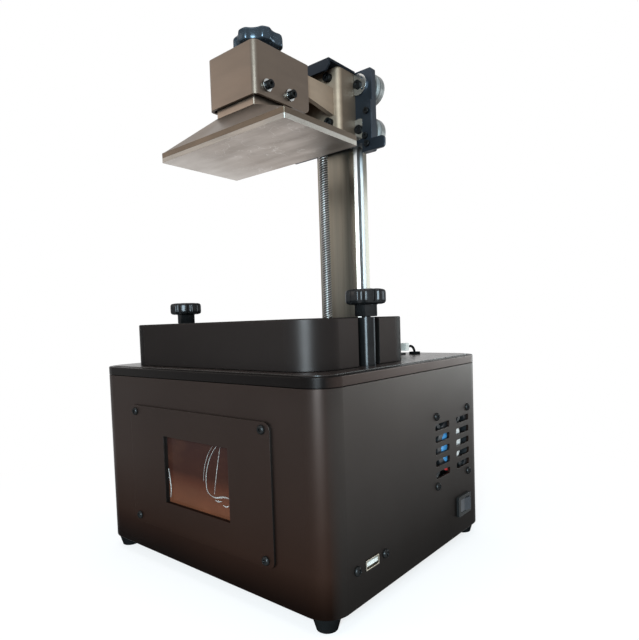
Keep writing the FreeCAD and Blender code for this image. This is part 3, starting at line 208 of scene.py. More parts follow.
def satin_coat(name, high, low, low_rough, high_rough, grain=0.05, rim=DULL_RIM, right=None):
    """Satin black coat: painted darker towards its foot, as shade, with faint clouds, fine orange peel and
    specks of dust.

    high and low are colours near the top and the foot of the case, and rim is how much of the room
    the coat mirrors at a glancing angle. right is the colour of a face that looks to the right, painted
    lighter as lit and most near the top; a coat that has one also has painted shade at the foot of the
    case, where it mirrors less of the room, which is painted shade as well.
    """
    made = Finish(name, Metallic=0.8, Specular_IOR_Level=0.1, Specular_Tint=(rim, rim, rim, 1.0))
    cloud = made.noise(9.0, 5.0)
    dust = made.noise(2300.0, 1.0)
    # Painted shade: the low colour makes the coat darker towards its foot.
    upper = made.ramp(cloud, [(0.32, tone(0.9, high)), (0.68, tone(1.1, high))])
    lower = made.ramp(cloud, [(0.32, tone(0.9, low)), (0.68, tone(1.1, low))])
    rise = made.axis("Z", *COAT_RISE)
    base = made.blend(rise, lower, upper)
    # Painted light: faces that look right are painted lighter, most near the top; the foot of the case is
    # painted into shade, and the coat mirrors less of the room near its foot, as painted shade.
    if right:
        bright = made.ramp(cloud, [(0.32, tone(0.9, right)), (0.68, tone(1.1, right))])
        shaded_right = made.ramp(cloud, [(0.32, tone(0.25, right)), (0.68, tone(0.35, right))])
        shade = made.ramp(cloud, [(0.32, tone(0.22, low)), (0.68, tone(0.30, low))])
        base = made.blend(made.axis("Z", *SHADE_RISE), shade, base)
        base = made.blend(made.facing("X", 0.75, 0.97), base, made.blend(rise, shaded_right, bright))
        foot_shaded_mirroring = made.ramp(rise, [(0.12, tone(FOOT_RIM)), (0.6, tone(rim))])
        made.tree.links.new(foot_shaded_mirroring, made.shader.inputs["Specular Tint"])
    specks = made.spread(dust, 0.0, 0.25, 0.74, 0.82)
    pale = made.ramp(dust, [(0.0, tone(2.2, high)), (1.0, tone(3.0, high))])
    made.color(made.blend(specks, base, pale))
    made.rough(made.noise(26.0, 6.0), low_rough, high_rough)
    made.edges(0.45)
    made.relief(made.noise(900.0, 2.0), grain, 0.2)
    return made.made


def satin_metal(name, level, tint, streak, low_rough, high_rough, edge=0.35):
    """Brushed or anodised metal: streaks along one axis, handling marks and bright edges."""
    made = Finish(name, Metallic=1.0, Anisotropic=0.35)
    lines = made.noise(120.0, 6.0, streak)
    smear = made.noise(16.0, 4.0)
    base = made.ramp(lines, [(0.3, tone(level * 0.9, tint)), (0.7, tone(level * 1.1, tint))])
    marks = made.ramp(smear, [(0.25, tone(level * 0.88, tint)), (0.75, tone(level * 1.12, tint))])
    made.color(made.blend(made.spread(smear, 0.15, 0.55), base, marks))
    made.rough(made.noise(42.0, 6.0, streak), low_rough, high_rough)
    made.edges(edge)
    made.relief(lines, 0.03, 0.22)
    return made.made


def moulded(name, level, tint, low_rough, high_rough, specular=0.5, grain=0.03, edge=0.35):
    """Moulded plastic or rubber: faint flow marks and a fine skin."""
    made = Finish(name, Specular_IOR_Level=specular)
    flow = made.noise(60.0, 4.0)
    made.color(made.ramp(flow, [(0.3, tone(level * 0.8, tint)), (0.7, tone(level * 1.25, tint))]))
    made.rough(made.noise(180.0, 4.0), low_rough, high_rough)
    made.edges(edge)
    made.relief(made.noise(1400.0, 2.0), grain, 0.25)
    return made.made


def gloss_moulding(name, level, tint):
    """Polished black moulding: slow waves in the skin and faint handling marks."""
    made = Finish(name, Metallic=0.75, Specular_IOR_Level=0.1, Specular_Tint=(0.34, 0.36, 0.38, 1.0))
    flow = made.noise(40.0, 4.0)
    made.color(made.ramp(flow, [(0.3, tone(level * 0.8, tint)), (0.7, tone(level * 1.25, tint))]))
    made.rough(made.noise(70.0, 5.0), 0.16, 0.24)
    made.relief(made.noise(60.0, 1.0), 0.05, 0.15)
    return made.made


def wheel_moulding():
    """Smoky wheel moulding: pale shoulders beside grooves painted dark as shade, with faint flow marks."""
    made = Finish("wheel_moulding", Specular_IOR_Level=0.3)
    middle = middle_of("wheel_upper_right").y
    across = made.axis("Y", middle - WHEEL_HALF, middle + WHEEL_HALF)
    # The darkest levels are painted shade: dark bands for the grooves along the tread's middle and edges.
    shades = [(0.0, 0.10), (0.16, 0.13), (0.21, 0.03), (0.27, 0.03), (0.32, 0.11), (0.46, 0.09),
              (0.49, 0.025), (0.53, 0.025), (0.57, 0.10), (0.70, 0.11), (0.74, 0.03), (0.80, 0.03),
              (0.86, 0.13), (1.0, 0.09)]
    bands = made.ramp(across, [(at, tone(level, SMOKY)) for at, level in shades])
    flow = made.noise(90.0, 4.0)
    marks = made.ramp(flow, [(0.3, tone(0.05, SMOKY)), (0.7, tone(0.10, SMOKY))])
    made.color(made.blend(made.spread(flow, 0.1, 0.4), bands, marks))
    made.rough(made.noise(180.0, 4.0), 0.3, 0.42)
    made.relief(made.noise(1400.0, 2.0), 0.01, 0.25)
    return made.made


def thread_steel():
    """Rolled thread: bright crests and roots painted dark, as shade."""
    made = Finish("thread_steel", Metallic=1.0)
    axis = middle_of("lead_screw") * MM
    flat = made.space((1, 1, 0), (-axis.x, -axis.y, 0))
    reach = made.add("ShaderNodeVectorMath", {0: flat}, operation="LENGTH").outputs["Value"]
    depth = made.spread(reach, 0.0, 1.0, 3.2 * MM, 3.95 * MM)
    grime_and_shade = made.noise(320.0, 4.0)
    # The dark colour at the roots is painted shade; the noise only mottles tone and roughness.
    root_shade = made.ramp(grime_and_shade, [(0.3, (0.022, 0.021, 0.020)), (0.7, (0.055, 0.052, 0.049))])
    crest = made.ramp(grime_and_shade, [(0.3, (0.36, 0.34, 0.33)), (0.7, (0.50, 0.48, 0.46))])
    made.color(made.blend(depth, root_shade, crest))
    made.rough(grime_and_shade, 0.34, 0.46)
    return made.made


def arm_metal():
    """Satin arm: the beam and the block's front painted light, as lit, and the block's flanks behind painted
    darker, as shade.
    """
    made = Finish("arm_satin", Metallic=1.0, Anisotropic=0.35)
    lines = made.noise(120.0, 6.0, ARM_STREAK)
    smear = made.noise(16.0, 4.0)
    # One casting painted two ways: lit up to the block's front, in shade on the block's flanks.
    lit_beam_and_front = made.ramp(lines, [(0.3, tone(0.215, BRASSY)), (0.7, tone(0.265, BRASSY))])
    shaded_block = made.ramp(lines, [(0.3, tone(0.112, BRASSY)), (0.7, tone(0.138, BRASSY))])
    marks = made.ramp(smear, [(0.25, tone(0.100, BRASSY)), (0.75, tone(0.146, BRASSY))])
    shaded_block = made.blend(made.spread(smear, 0.15, 0.5), shaded_block, marks)
    made.color(made.blend(made.axis("Y", BLOCK_FRONT + 1.5, BLOCK_FRONT + 4.5), lit_beam_and_front, shaded_block))
    made.rough(made.noise(42.0, 6.0), 0.56, 0.66)
    made.edges(0.35)
    made.relief(lines, 0.03, 0.22)
    return made.made


def platform_metal():
    """Satin casting: a flange painted dark as shade under slopes painted lighter as lit, with streaks."""
    made = Finish("platform_satin", Metallic=1.0, Anisotropic=0.35)
    lines = made.noise(120.0, 6.0, ARM_STREAK)
    # Painted light: the flange is painted dark as shade, and the slopes above it lighter, as lit from above.
    shaded_flange = made.ramp(lines, [(0.3, tone(0.066, BRASSY)), (0.7, tone(0.084, BRASSY))])
    slope = made.ramp(lines, [(0.3, tone(0.140, BRONZE)), (0.7, tone(0.172, BRONZE))])
    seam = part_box("platform_slab")[1].z / MM + FLANGE_HEIGHT
    made.color(made.blend(made.axis("Z", seam - 0.2, seam + 0.2), shaded_flange, slope))
    made.rough(made.noise(42.0, 6.0), 0.34, 0.46)
    made.edges(0.35)
    made.relief(lines, 0.03, 0.22)
    return made.made


def platform_sole():
    """Ground underside: fine lines, scuffs, thin scratches, slow cloudy patches and, at the left, a painted
    reflection.
    """
    made = Finish("platform_sole", Metallic=1.0, Anisotropic=0.2)
    lines = made.noise(900.0, 5.0, (0.06, 1.0, 1.0))
    cross = made.noise(700.0, 4.0, (1.0, 0.12, 1.0), (0.2, 0.4, 0))
    swirl = made.noise(70.0, 2.0, shift=(0.5, 0.1, 0))
    where = made.noise(28.0, 2.0, shift=(0.9, 0.6, 0))
    patch = made.noise(34.0, 6.0)
    base = made.ramp(lines, [(0.3, (0.365, 0.310, 0.270)), (0.7, (0.425, 0.370, 0.328))])
    dull = made.ramp(patch, [(0.3, (0.350, 0.292, 0.248)), (0.72, (0.440, 0.388, 0.352))])
    plain = made.blend(made.spread(patch, 0.25, 0.6), base, dull)
    scuff = made.ramp(cross, [(0.3, (0.52, 0.47, 0.43)), (0.7, (0.60, 0.56, 0.52))])
    under = made.blend(made.spread(cross, 0.0, 0.55, 0.66, 0.78), plain, scuff)
    thin = made.ramp(swirl, [(0.488, (0, 0, 0)), (0.5, (0.5, 0.5, 0.5)), (0.512, (0, 0, 0))])
    patchy = made.ramp(where, [(0.5, (0, 0, 0)), (0.6, (1, 1, 1))])
    scratch = made.add("ShaderNodeMath", {0: thin, 1: patchy}, operation="MULTIPLY").outputs[0]
    clean = made.ramp(lines, [(0.3, (0.68, 0.65, 0.62)), (0.7, (0.78, 0.75, 0.72))])
    under = made.blend(scratch, under, clean)
    # Painted reflection: the underside is painted paler towards its left end.
    pale = made.ramp(patch, [(0.3, (0.47, 0.43, 0.395)), (0.72, (0.56, 0.52, 0.485))])
    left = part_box("platform_slab")[0].x / MM
    under = made.blend(made.axis("X", left, left + 55.0), pale, under)
    rim = made.ramp(lines, [(0.3, (0.170, 0.155, 0.140)), (0.7, (0.205, 0.190, 0.172))])
    # Edges that look right are painted lighter, as lit.
    lit_right_rim = made.ramp(lines, [(0.3, (0.245, 0.230, 0.208)), (0.7, (0.290, 0.275, 0.252))])
    rim = made.blend(made.facing("X", 0.5, 0.7), rim, lit_right_rim)
    made.color(made.blend(made.facing("Z", -0.7, -0.5), under, rim))
    made.rough(made.noise(90.0, 6.0, (0.3, 1.0, 1.0)), 0.34, 0.5)
    made.edges(0.3)
    made.relief(lines, 0.012, 0.2)
    return made.made


def column_metal():
    """Extrusion with drawn lines: one metal with a front painted dark as shade, a right side painted
    bright as lit, and a strip at the rear painted dull as shade.
    """
    made = Finish("column_metal", Metallic=1.0, Anisotropic=0.4)
    lines = made.noise(420.0, 5.0, DRAWN_STREAK)
    broad = made.noise(75.0, 3.0, DRAWN_STREAK, (0.3, 0, 0))
    # Painted light: the front and the rear strip are painted dark as shade, the right side and its slot
    # bright as lit.
    front = made.ramp(lines, [(0.28, tone(0.088, OLIVE)), (0.72, tone(0.135, OLIVE))])
    band = made.ramp(broad, [(0.3, tone(0.080, OLIVE)), (0.7, tone(0.138, OLIVE))])
    front = made.blend(made.spread(broad, 0.3, 0.7), front, band)
    side = made.ramp(lines, [(0.3, tone(0.40)), (0.7, tone(0.52))])
    slot = made.ramp(lines, [(0.3, tone(0.36)), (0.7, tone(0.44))])
    rear = made.ramp(lines, [(0.3, tone(0.080, OLIVE)), (0.7, tone(0.115, OLIVE))])
    least, most = (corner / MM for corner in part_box("column"))
    outer = made.axis("X", most.x - 2.0, most.x - 0.4)
    behind = made.axis("Y", least.y + 0.5, least.y + 1.2)
    last = made.axis("Y", most.y - 6.0, most.y - 5.0)
    lit_sides_and_rear_shade = made.blend(last, made.blend(outer, slot, side), rear)
    made.color(made.blend(behind, front, lit_sides_and_rear_shade))
    made.rough(made.noise(90.0, 4.0, (1.0, 1.0, 0.01)), 0.24, 0.4)
    made.edges(0.25)
    made.relief(lines, 0.025, 0.3)
    return made.made


def screen_glass():
    """Dark screen under glass, with a painted reflection of the room's brown falling across it."""
    made = Finish("screen_glass", Roughness=0.06, Specular_IOR_Level=0.02)
    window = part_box("touch_glass")
    low, high = window[0].z / MM + 7, window[1].z / MM - 7
    up = made.axis("Z", low, high)
    wash = made.noise(32.0, 4.0, (1.0, 1.0, 2.4))
    # Painted reflection: the room's brown, strongest at the bottom and mottled by the wash.
    painted_room_reflection = made.ramp(up, [(0.0, (0.085, 0.028, 0.014)), (0.25, (0.061, 0.020, 0.011)),
                           (0.38, (0.041, 0.012, 0.007)), (0.5, (0.021, 0.007, 0.005)),
                           (1.0, (0.019, 0.008, 0.007))])
    shade = made.ramp(wash, [(0.35, (0.010, 0.005, 0.003)), (0.7, (0.044, 0.018, 0.010))])
    made.color(made.blend(made.spread(wash, 0.0, 0.4), painted_room_reflection, shade))
    made.relief(made.noise(18.0, 2.0), 0.12, 0.2)
    return made.made


def clear_film(name, alpha, level):
    """Clear film with a faint haze."""
    made = Finish(name, Alpha=alpha, Specular_IOR_Level=0.6)
    haze = made.noise(240.0, 3.0)
    made.color(made.ramp(haze, [(0.3, tone(level * 0.8, FILM_TINT)), (0.7, tone(level, FILM_TINT))]))
    made.rough(haze, 0.05, 0.16)
    return made.made


def fan_label():
    """Printed disc on the fan's hub: plain blue and white fields and a small red one, with no words."""
    made = Finish("fan_label")
    centre = middle_of("fan_frame")
    flat = made.space((0, 1, 1), (0, -centre.y * MM, -centre.z * MM))
    reach = made.add("ShaderNodeVectorMath", {0: flat}, operation="LENGTH").outputs["Value"]
    along = made.axis("Y", -0.5, 0.5, centre)
    up = made.axis("Z", -14.2, -13.6, centre)
    print_grain = made.noise(700.0, 3.0)
    dark = made.ramp(print_grain, [(0.3, (0.010, 0.010, 0.011)), (0.7, (0.018, 0.018, 0.020))])
    blue = made.ramp(print_grain, [(0.3, (0.040, 0.19, 0.40)), (0.7, (0.070, 0.27, 0.50))])
    white = made.ramp(print_grain, [(0.3, (0.52, 0.50, 0.48)), (0.7, (0.66, 0.64, 0.61))])
    red = made.ramp(print_grain, [(0.3, (0.52, 0.025, 0.03)), (0.7, (0.68, 0.045, 0.045))])
    past_blue = made.spread(reach, 0.0, 1.0, 13.3 * MM, 13.7 * MM)
    past_white = made.spread(reach, 0.0, 1.0, 17.8 * MM, 18.2 * MM)
    front_half = made.blend(up, red, made.blend(past_blue, blue, dark))
    rear_half = made.blend(past_white, white, dark)
    made.color(made.blend(along, front_half, rear_half))
    made.rough(print_grain, 0.3, 0.45)
    return made.made


FINISHES = {
    # The case is painted darker towards its foot as shade and lighter on its right faces as lit; the lid's
    # right faces are painted lighter as lit.
    "case": satin_coat("case_coat", tone(0.026, WARM), tone(0.021, SHADED_FOOT_TINT), 0.35, 0.43, 0.05, CLEAR_RIM,
                       tone(0.045, LIT_RIGHT_TINT)),
    "lid": satin_coat("lid_coat", tone(0.008, NEUTRAL), tone(0.008, NEUTRAL), 0.30, 0.40, 0.03, CLEAR_RIM,
                      tone(0.034, WARM)),
    "deck": moulded("deck_coat", 0.015, WARM, 0.24, 0.34, 0.3, 0.02, 0.45),
    "vat": satin_coat("vat_coat", tone(0.021, NEUTRAL), tone(0.021, NEUTRAL), 0.32, 0.40, 0.02),
    "bronze": satin_metal("bronze_satin", 0.112, BRONZE, ARM_STREAK, 0.34, 0.46),
    "arm": arm_metal(),
    "platform": platform_metal(),
    "sole": platform_sole(),
    "column": column_metal(),
    "steel": satin_metal("turned_steel", 0.46, PLAIN, TURNED_STREAK, 0.24, 0.36),
    "thread": thread_steel(),
    "nickel": satin_metal("nickel_plate", 0.40, (0.97, 1.0, 1.0), (1.0, 1.0, 1.0), 0.18, 0.3, 0.2),
    "cream_nickel": satin_metal("cream_nickel", 0.42, (1.0, 0.90, 0.74), (1.0, 1.0, 1.0), 0.24, 0.36, 0.2),
    "oxide": satin_coat("black_oxide", tone(0.018), tone(0.018), 0.26, 0.36, 0.01, 0.25),
    # The carriage and cover are black, with a painted blue reflection of the sky.
    "carriage": satin_coat("carriage_coat", tone(0.036, SKY_BLUE_REFLECTION), tone(0.036, SKY_BLUE_REFLECTION), 0.26, 0.36, 0.02,
                           CLEAR_RIM),
    "cover": satin_coat("cover_coat", tone(0.020, SKY_BLUE_REFLECTION), tone(0.020, SKY_BLUE_REFLECTION), 0.26, 0.36, 0.02),
    "gloss": gloss_moulding("gloss_moulding", 0.022, (1.0, 0.97, 0.98)),
    # The clamp knob's blue tint is a painted reflection of a blue window in its highlights.
    "blue_gloss": gloss_moulding("blue_gloss_moulding", 0.045, (0.72, 0.92, 1.12)),
    "plastic": moulded("matte_moulding", 0.011, (0.95, 1.0, 1.08), 0.42, 0.55, 0.22),
    "dark_plastic": moulded("dark_moulding", 0.006, PLAIN, 0.45, 0.58, 0.12),
    "rocker": moulded("rocker_moulding", 0.020, (0.92, 0.97, 1.12), 0.34, 0.46, 0.22),
    "white": moulded("white_moulding", 0.44, (1.0, 0.95, 0.86), 0.38, 0.5, 0.3),
    "wheel": wheel_moulding(),
    "rubber": moulded("foot_rubber", 0.005, PLAIN, 0.6, 0.75, 0.0, 0.04),
    "screen": screen_glass(),
    "mask": moulded("mask_glass", 0.010, (0.9, 0.95, 1.1), 0.05, 0.09, 0.5, 0.002),
    "film": clear_film("release_film", 0.3, 0.6),
    # The wrinkles' pale colour is a painted highlight, the glare along the film's folds.
    "wrinkle": clear_film("film_wrinkle", 0.5, 0.44),
    "board": moulded("solder_mask", 0.06, (0.25, 1.0, 0.45), 0.3, 0.42),
    "brass": satin_metal("turned_brass", 0.52, (1.0, 0.74, 0.36), TURNED_STREAK, 0.24, 0.36),
    "label": fan_label(),
}

FINISH_OF = {
    "case": ["base_shell", "base_plate", "front_panel"],
    "lid": ["lid_frame"],
    "deck": ["deck_plate"],
    "vat": ["vat_tank"],
    "bronze": ["clamp_cap"],
    "arm": ["arm"],
    "platform": ["platform_body"],
    "sole": ["platform_slab"],
    "column": ["column", "column_base", "led_heatsink"],
    "steel": ["lead_screw", "z_motor", "film_frame", "column_bolts", "motor_screws", "limit_lever"],
    "nickel": ["wheel_bushes", "level_washers"],
    "cream_nickel": ["port_shell"],
    "oxide": ["case_screws", "carriage_screws", "arm_screws", "level_screws", "wheel_axles"],
    "carriage": ["carriage_plate", "limit_flag"],
    "cover": ["arm_cover"],
    "gloss": ["vat_knob_left", "vat_knob_right", "vat_posts"],
    "blue_gloss": ["clamp_knob"],
    "plastic": ["fan_frame", "fan_impeller", "port_bar", "power_inlet", "limit_switch", "light_hood",
                "touch_screen", "mask_panel"],
    "dark_plastic": ["switch_housing"],
    "rocker": ["switch_rocker"],
    "white": ["port_tongue", "limit_plug"],
    "wheel": ["wheel_middle_left", "wheel_upper_right", "wheel_lower_right"],
    "rubber": ["feet", "cable_grommet", "limit_cable"],
    "screen": ["touch_glass"],
    "mask": ["mask_glass"],
    "film": ["release_film"],
    "board": ["main_board", "led_board"],
    "brass": ["standoffs", "lead_nut"],
}
for finish, members in FINISH_OF.items():
    for member in members:
        data = nodes[member].data
        data.materials.clear()
        data.materials.append(FINISHES[finish])


# Mesh pieces

def piece(name, vertices, faces, finish, body, slot, stands_for=(), crease=40.0):
    """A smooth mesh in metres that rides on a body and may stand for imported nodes."""
    mesh = bpy.data.meshes.new(name)
    mesh.from_pydata([Vector(v) * MM for v in vertices], [], faces)
    mesh.validate()
    mesh.shade_smooth()
    mesh.set_sharp_from_angle(angle=math.radians(crease))
    mesh.materials.append(FINISHES[finish])
    made = bpy.data.objects.new(name, mesh)
    bpy.context.scene.collection.objects.link(made)
    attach(made, body)
    if stands_for:
        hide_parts(*stands_for)


def skin(rings):
    """Vertices and faces of a closed tube through rings that all have the same number of points."""
    count = len(rings[0])
    vertices = [point for ring in rings for point in ring]
    faces = []
    for row in range(len(rings) - 1):
        start = row * count
        for i in range(count):
            j = (i + 1) % count
            faces.append((start + i, start + j, start + count + j, start + count + i))
    faces.append(tuple(reversed(range(count))))
    faces.append(tuple(range(len(vertices) - count, len(vertices))))
    return vertices, faces


def merged(parts):
    """Several vertex and face lists as one."""
    vertices, faces = [], []
    for more_vertices, more_faces in parts:
        start = len(vertices)
        vertices += more_vertices
        faces += [tuple(start + i for i in face) for face in more_faces]
    return vertices, faces


def circle(radius, height, turn, centre, count=72):
    """A ring of points about centre; turn takes the Z axis to the ring's own axis."""
    made = []
    for i in range(count):
        angle = 2 * math.pi * i / count
        spot = Vector((radius * math.cos(angle), radius * math.sin(angle), height))
        made.append(centre + turn @ spot)
    return made


def towards(way):
    """The turn that takes the Z axis to way."""
    return Vector((0, 0, 1)).rotation_difference(Vector(way)).to_matrix()


def lathe(profile, centre, way):
    """A turned shape: profile lists radii and heights along way from centre."""
    turn = towards(way)
    return skin([circle(radius, height, turn, Vector(centre)) for radius, height in profile])


# Lead screw with its four-start thread

THREAD_PITCH = 2.0
THREAD_STARTS = 4
THREAD_DEPTH = 0.8
THREAD_SIDES = 32
RINGS_PER_PITCH = 8


def thread_radius(phase, crest):
    """Trapezoid thread: crest, flank, root, flank over one pitch."""
    phase = phase % 1.0
    slope = min(max((abs(phase - 0.5) - 0.16) / 0.16, 0.0), 1.0)
    return crest - THREAD_DEPTH * slope


def build_lead_screw():
    low, high = (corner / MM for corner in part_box("lead_screw"))
    crest = (high.x - low.x) / 2
    centre = Vector((0, (low.y + high.y) / 2, 0))
    levels = int((high.z - low.z) / (THREAD_PITCH / RINGS_PER_PITCH))
    rings = []
    for level in range(levels + 1):
        height = low.z + (high.z - low.z) * level / levels
        ring = []
        for i in range(THREAD_SIDES):
            share = i / THREAD_SIDES
            angle = 2 * math.pi * share
            radius = thread_radius(height / THREAD_PITCH - THREAD_STARTS * share, crest)
            ring.append(centre + Vector((radius * math.cos(angle), radius * math.sin(angle), height)))
        rings.append(ring)
    piece("lead_screw_thread", *skin(rings), "thread", "screw", "steel", ["lead_screw"], 30.0)


# Knobs with lobes

CLAMP_KNOB_Y = -24.0
CLAMP_GRIP_FOOT = 378.7
CLAMP_WAIST = 376.0
CLAMP_HUB = 9.0
CLAMP_STUD = 4.0
VAT_KNOB_REACH = 95.0
VAT_MIDDLE = -30.0
VAT_KNOB_HEIGHT = 17.4
VAT_GRIP_HEIGHT = 9.6
VAT_HUB = 7.2
VAT_STUD = 3.0
RUNNING_GAP = 0.3


def lobe_outline(radius, lobes, flute_radius, flute_reach, first_turn, count):
    """Radius round a grip whose flutes are circles cut into a disc, with the corners eased."""
    reach = radius * flute_reach
    sharp = []
    for i in range(count):
        angle = math.degrees(2 * math.pi * i / count) - first_turn
        off = math.radians((angle + 180 / lobes) % (360 / lobes) - 180 / lobes)
        inside = flute_radius ** 2 - (reach * math.sin(off)) ** 2
        cut = reach * math.cos(off) - math.sqrt(inside) if inside > 0 else radius
        sharp.append(min(radius, cut))
    ease = max(count // (lobes * 14), 1)
    near = range(-ease, ease + 1)
    return [sum(sharp[(i + k) % count] for k in near) / len(near) for i in range(count)]


def knob(name, finish, body, stands_for, centre, grip_foot, grip_top, foot, outline, hub, waist, stud):
    """Grip with rounded rims and a dished top, a hub under it and a stud below."""
    count = len(outline)
    grip = [(grip_foot, 2.6), (grip_foot + 0.5, 0.9), (grip_foot + 1.4, 0.2), (grip_foot + 2.6, 0.0),
            (grip_top - 2.4, 0.0), (grip_top - 1.2, 0.25), (grip_top - 0.4, 0.95), (grip_top, 2.4)]

    def ring(radii, height):
        made = []
        for i, radius in enumerate(radii):
            angle = 2 * math.pi * i / count
            x = centre.x + radius * math.cos(angle)
            y = centre.y + radius * math.sin(angle)
            made.append(Vector((x, y, height)))
        return made

    stud_radius, stud_foot = stud
    rings = [ring([stud_radius] * count, stud_foot), ring([stud_radius] * count, foot)]
    rings += [ring([hub - 0.5] * count, foot), ring([hub] * count, foot + 0.5)]
    rings += [ring([hub] * count, waist), ring([hub + 0.5] * count, waist + 0.6)]
    rings += [ring([radius - inset for radius in outline], height) for height, inset in grip]
    dish = min(outline) * 0.62
    rings += [ring([dish + 0.8] * count, grip_top), ring([dish] * count, grip_top - 0.5),
              ring([dish * 0.9] * count, grip_top - 0.5), ring([dish * 0.86] * count, grip_top - 0.15)]
    piece(name, *skin(rings), finish, body, "knob_black", stands_for, 50.0)


def build_knobs():
    low, high = (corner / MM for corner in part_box("clamp_knob"))
    cap_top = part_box("clamp_cap")[1].z / MM
    centre = Vector((0, CLAMP_KNOB_Y, 0))
    outline = lobe_outline(18.5, 6, 14.0, 1.62, 5, 216)
    knob("clamp_knob_lobed", "blue_gloss", "cap_knob", ["clamp_knob"], centre, CLAMP_GRIP_FOOT, high.z,
         cap_top + RUNNING_GAP, outline, CLAMP_HUB, CLAMP_WAIST, (CLAMP_STUD, low.z))
    outline = lobe_outline(13.0, 8, 2.2, 1.05, 22.5, 192)
    for side, body in (("left", "left_knob"), ("right", "right_knob")):
        node = f"vat_knob_{side}"
        low, high = (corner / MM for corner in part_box(node))
        middle = (low + high) / 2
        centre = Vector((math.copysign(VAT_KNOB_REACH, middle.x), VAT_MIDDLE, 0))
        grip_foot = high.z - VAT_GRIP_HEIGHT
        knob(f"{node}_lobed", "gloss", body, [node], centre, grip_foot, high.z, high.z - VAT_KNOB_HEIGHT,
             outline, VAT_HUB, grip_foot - 0.7, (VAT_STUD, low.z))


# Wheels with their bearings

def build_wheels():
    radius, half, flat = 13.2, WHEEL_HALF, 2.95
    shoulder = radius - (half - flat)
    side = [(2.6, half - 1.6), (5.6, half - 1.6), (5.9, half - 0.6), (7.4, half - 0.6), (7.7, half - 1.3),
            (9.0, half - 1.3), (9.3, half - 0.25), (shoulder - 0.4, half), (shoulder, half - 0.15),
            (radius - 0.3, flat + 0.25), (radius, flat - 0.1)]
    profile = [(r, -h) for r, h in side] + [(r, h) for r, h in reversed(side)]
    bearing = [(2.6, half - 1.0), (3.5, half - 1.0), (3.7, half - 1.35), (4.6, half - 1.35),
               (4.8, half - 1.0), (5.5, half - 1.1), (5.5, half - 2.0), (2.6, half - 2.0)]
    spots = {"wheel_1": "wheel_middle_left", "wheel_2": "wheel_upper_right", "wheel_3": "wheel_lower_right"}
    for body, node in spots.items():
        centre = middle_of(node)
        piece(f"{node}_tyre", *lathe(profile, centre, (0, 1, 0)), "wheel", body, "wheel_grey", [node], 35.0)
        for face in (-1, 1):
            piece(f"{node}_bearing_{face + 1}", *lathe(bearing, centre, (0, face, 0)), "nickel", body,
                  "bright_steel", (), 35.0)


# Button-head screws on the case

BUTTON = [(2.9, 0.0), (2.88, 0.35), (2.72, 0.85), (2.38, 1.3), (1.9, 1.62), (1.5, 1.74)]
KEY_RADIUS = 1.12
PANEL_SCREW_X = 66.6
PANEL_SCREW_Z = 39.1
FAN_SCREW = 25.0
PORT_SCREW = 14.65


def button_head(seat, way, spin):
    """A domed head with a hex socket, and a short shank behind it."""
    count = 48
    turn = towards(way)
    rings = [circle(1.5, -5.0, turn, seat, count), circle(1.5, 0.0, turn, seat, count)]
    rings += [circle(radius, height, turn, seat, count) for radius, height in BUTTON]
    for height in (1.72, 0.7):
        ring = []
        for i in range(count):
            angle = 2 * math.pi * i / count
            off = (angle + spin) % (math.pi / 3) - math.pi / 6
            reach = KEY_RADIUS * math.cos(math.pi / 6) / math.cos(off)
            ring.append(seat + turn @ Vector((reach * math.cos(angle), reach * math.sin(angle), height)))
        rings.append(ring)
    return skin(rings)


def build_case_screws():
    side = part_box("base_shell")[1].x / MM
    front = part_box("front_panel")[0].y / MM
    panel = middle_of("front_panel")
    fan = middle_of("fan_frame")
    port = middle_of("port_shell")
    heads = []
    for i in (-1, 1):
        for j in (-1, 1):
            on_panel = Vector((panel.x + PANEL_SCREW_X * i, front, panel.z + PANEL_SCREW_Z * j))
            heads.append((on_panel, (0, -1, 0)))
            heads.append((Vector((side, fan.y + FAN_SCREW * i, fan.z + FAN_SCREW * j)), (1, 0, 0)))
        heads.append((Vector((side, port.y + PORT_SCREW * i, port.z)), (1, 0, 0)))
    parts = [button_head(seat, way, 0.4 * number) for number, (seat, way) in enumerate(heads)]
    piece("case_button_heads", *merged(parts), "oxide", "base", "black_steel", ["case_screws"], 35.0)


# Fan label

def build_fan_label():
    middle = middle_of("fan_frame")
    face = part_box("fan_frame")[1].x / MM - 1.0
    rings = [(19.2, 0.02), (19.2, 0.15), (19.0, 0.2)]
    disc = lathe(rings, (face, middle.y, middle.z), (1, 0, 0))
    piece("fan_label_disc", *disc, "label", "base", "white_plastic")


# Loose protective film on the screen: a folded loop and a bright curl, as thin raised ribbons;
# their pale colour is a painted highlight, the glare along the film's folds

def ribbon(name, points, width, lift):
    """A flat strip along points on the screen, with its edges curled up."""
    vertices, faces = [], []
    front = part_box("touch_glass")[0].y / MM - 0.12
    for i, (x, z) in enumerate(points):
        before, after = points[max(i - 1, 0)], points[min(i + 1, len(points) - 1)]
        run = Vector((after[0] - before[0], after[1] - before[1]))
        swell = 0.35 + 0.65 * math.sin(math.pi * (i + 0.5) / len(points))
        across = Vector((-run.y, run.x)).normalized() * width * swell
        for share, rise in ((-0.5, lift), (-0.2, 0.1), (0.2, 0.1), (0.5, lift * 0.7)):
            vertices.append((x + across.x * share, front - rise, z + across.y * share))
    for i in range(len(points) - 1):
        for k in range(3):
            start = 4 * i + k
            faces.append((start, start + 1, start + 5, start + 4))
    piece(name, vertices, faces, "wrinkle", "base", "film_clear", (), 60.0)


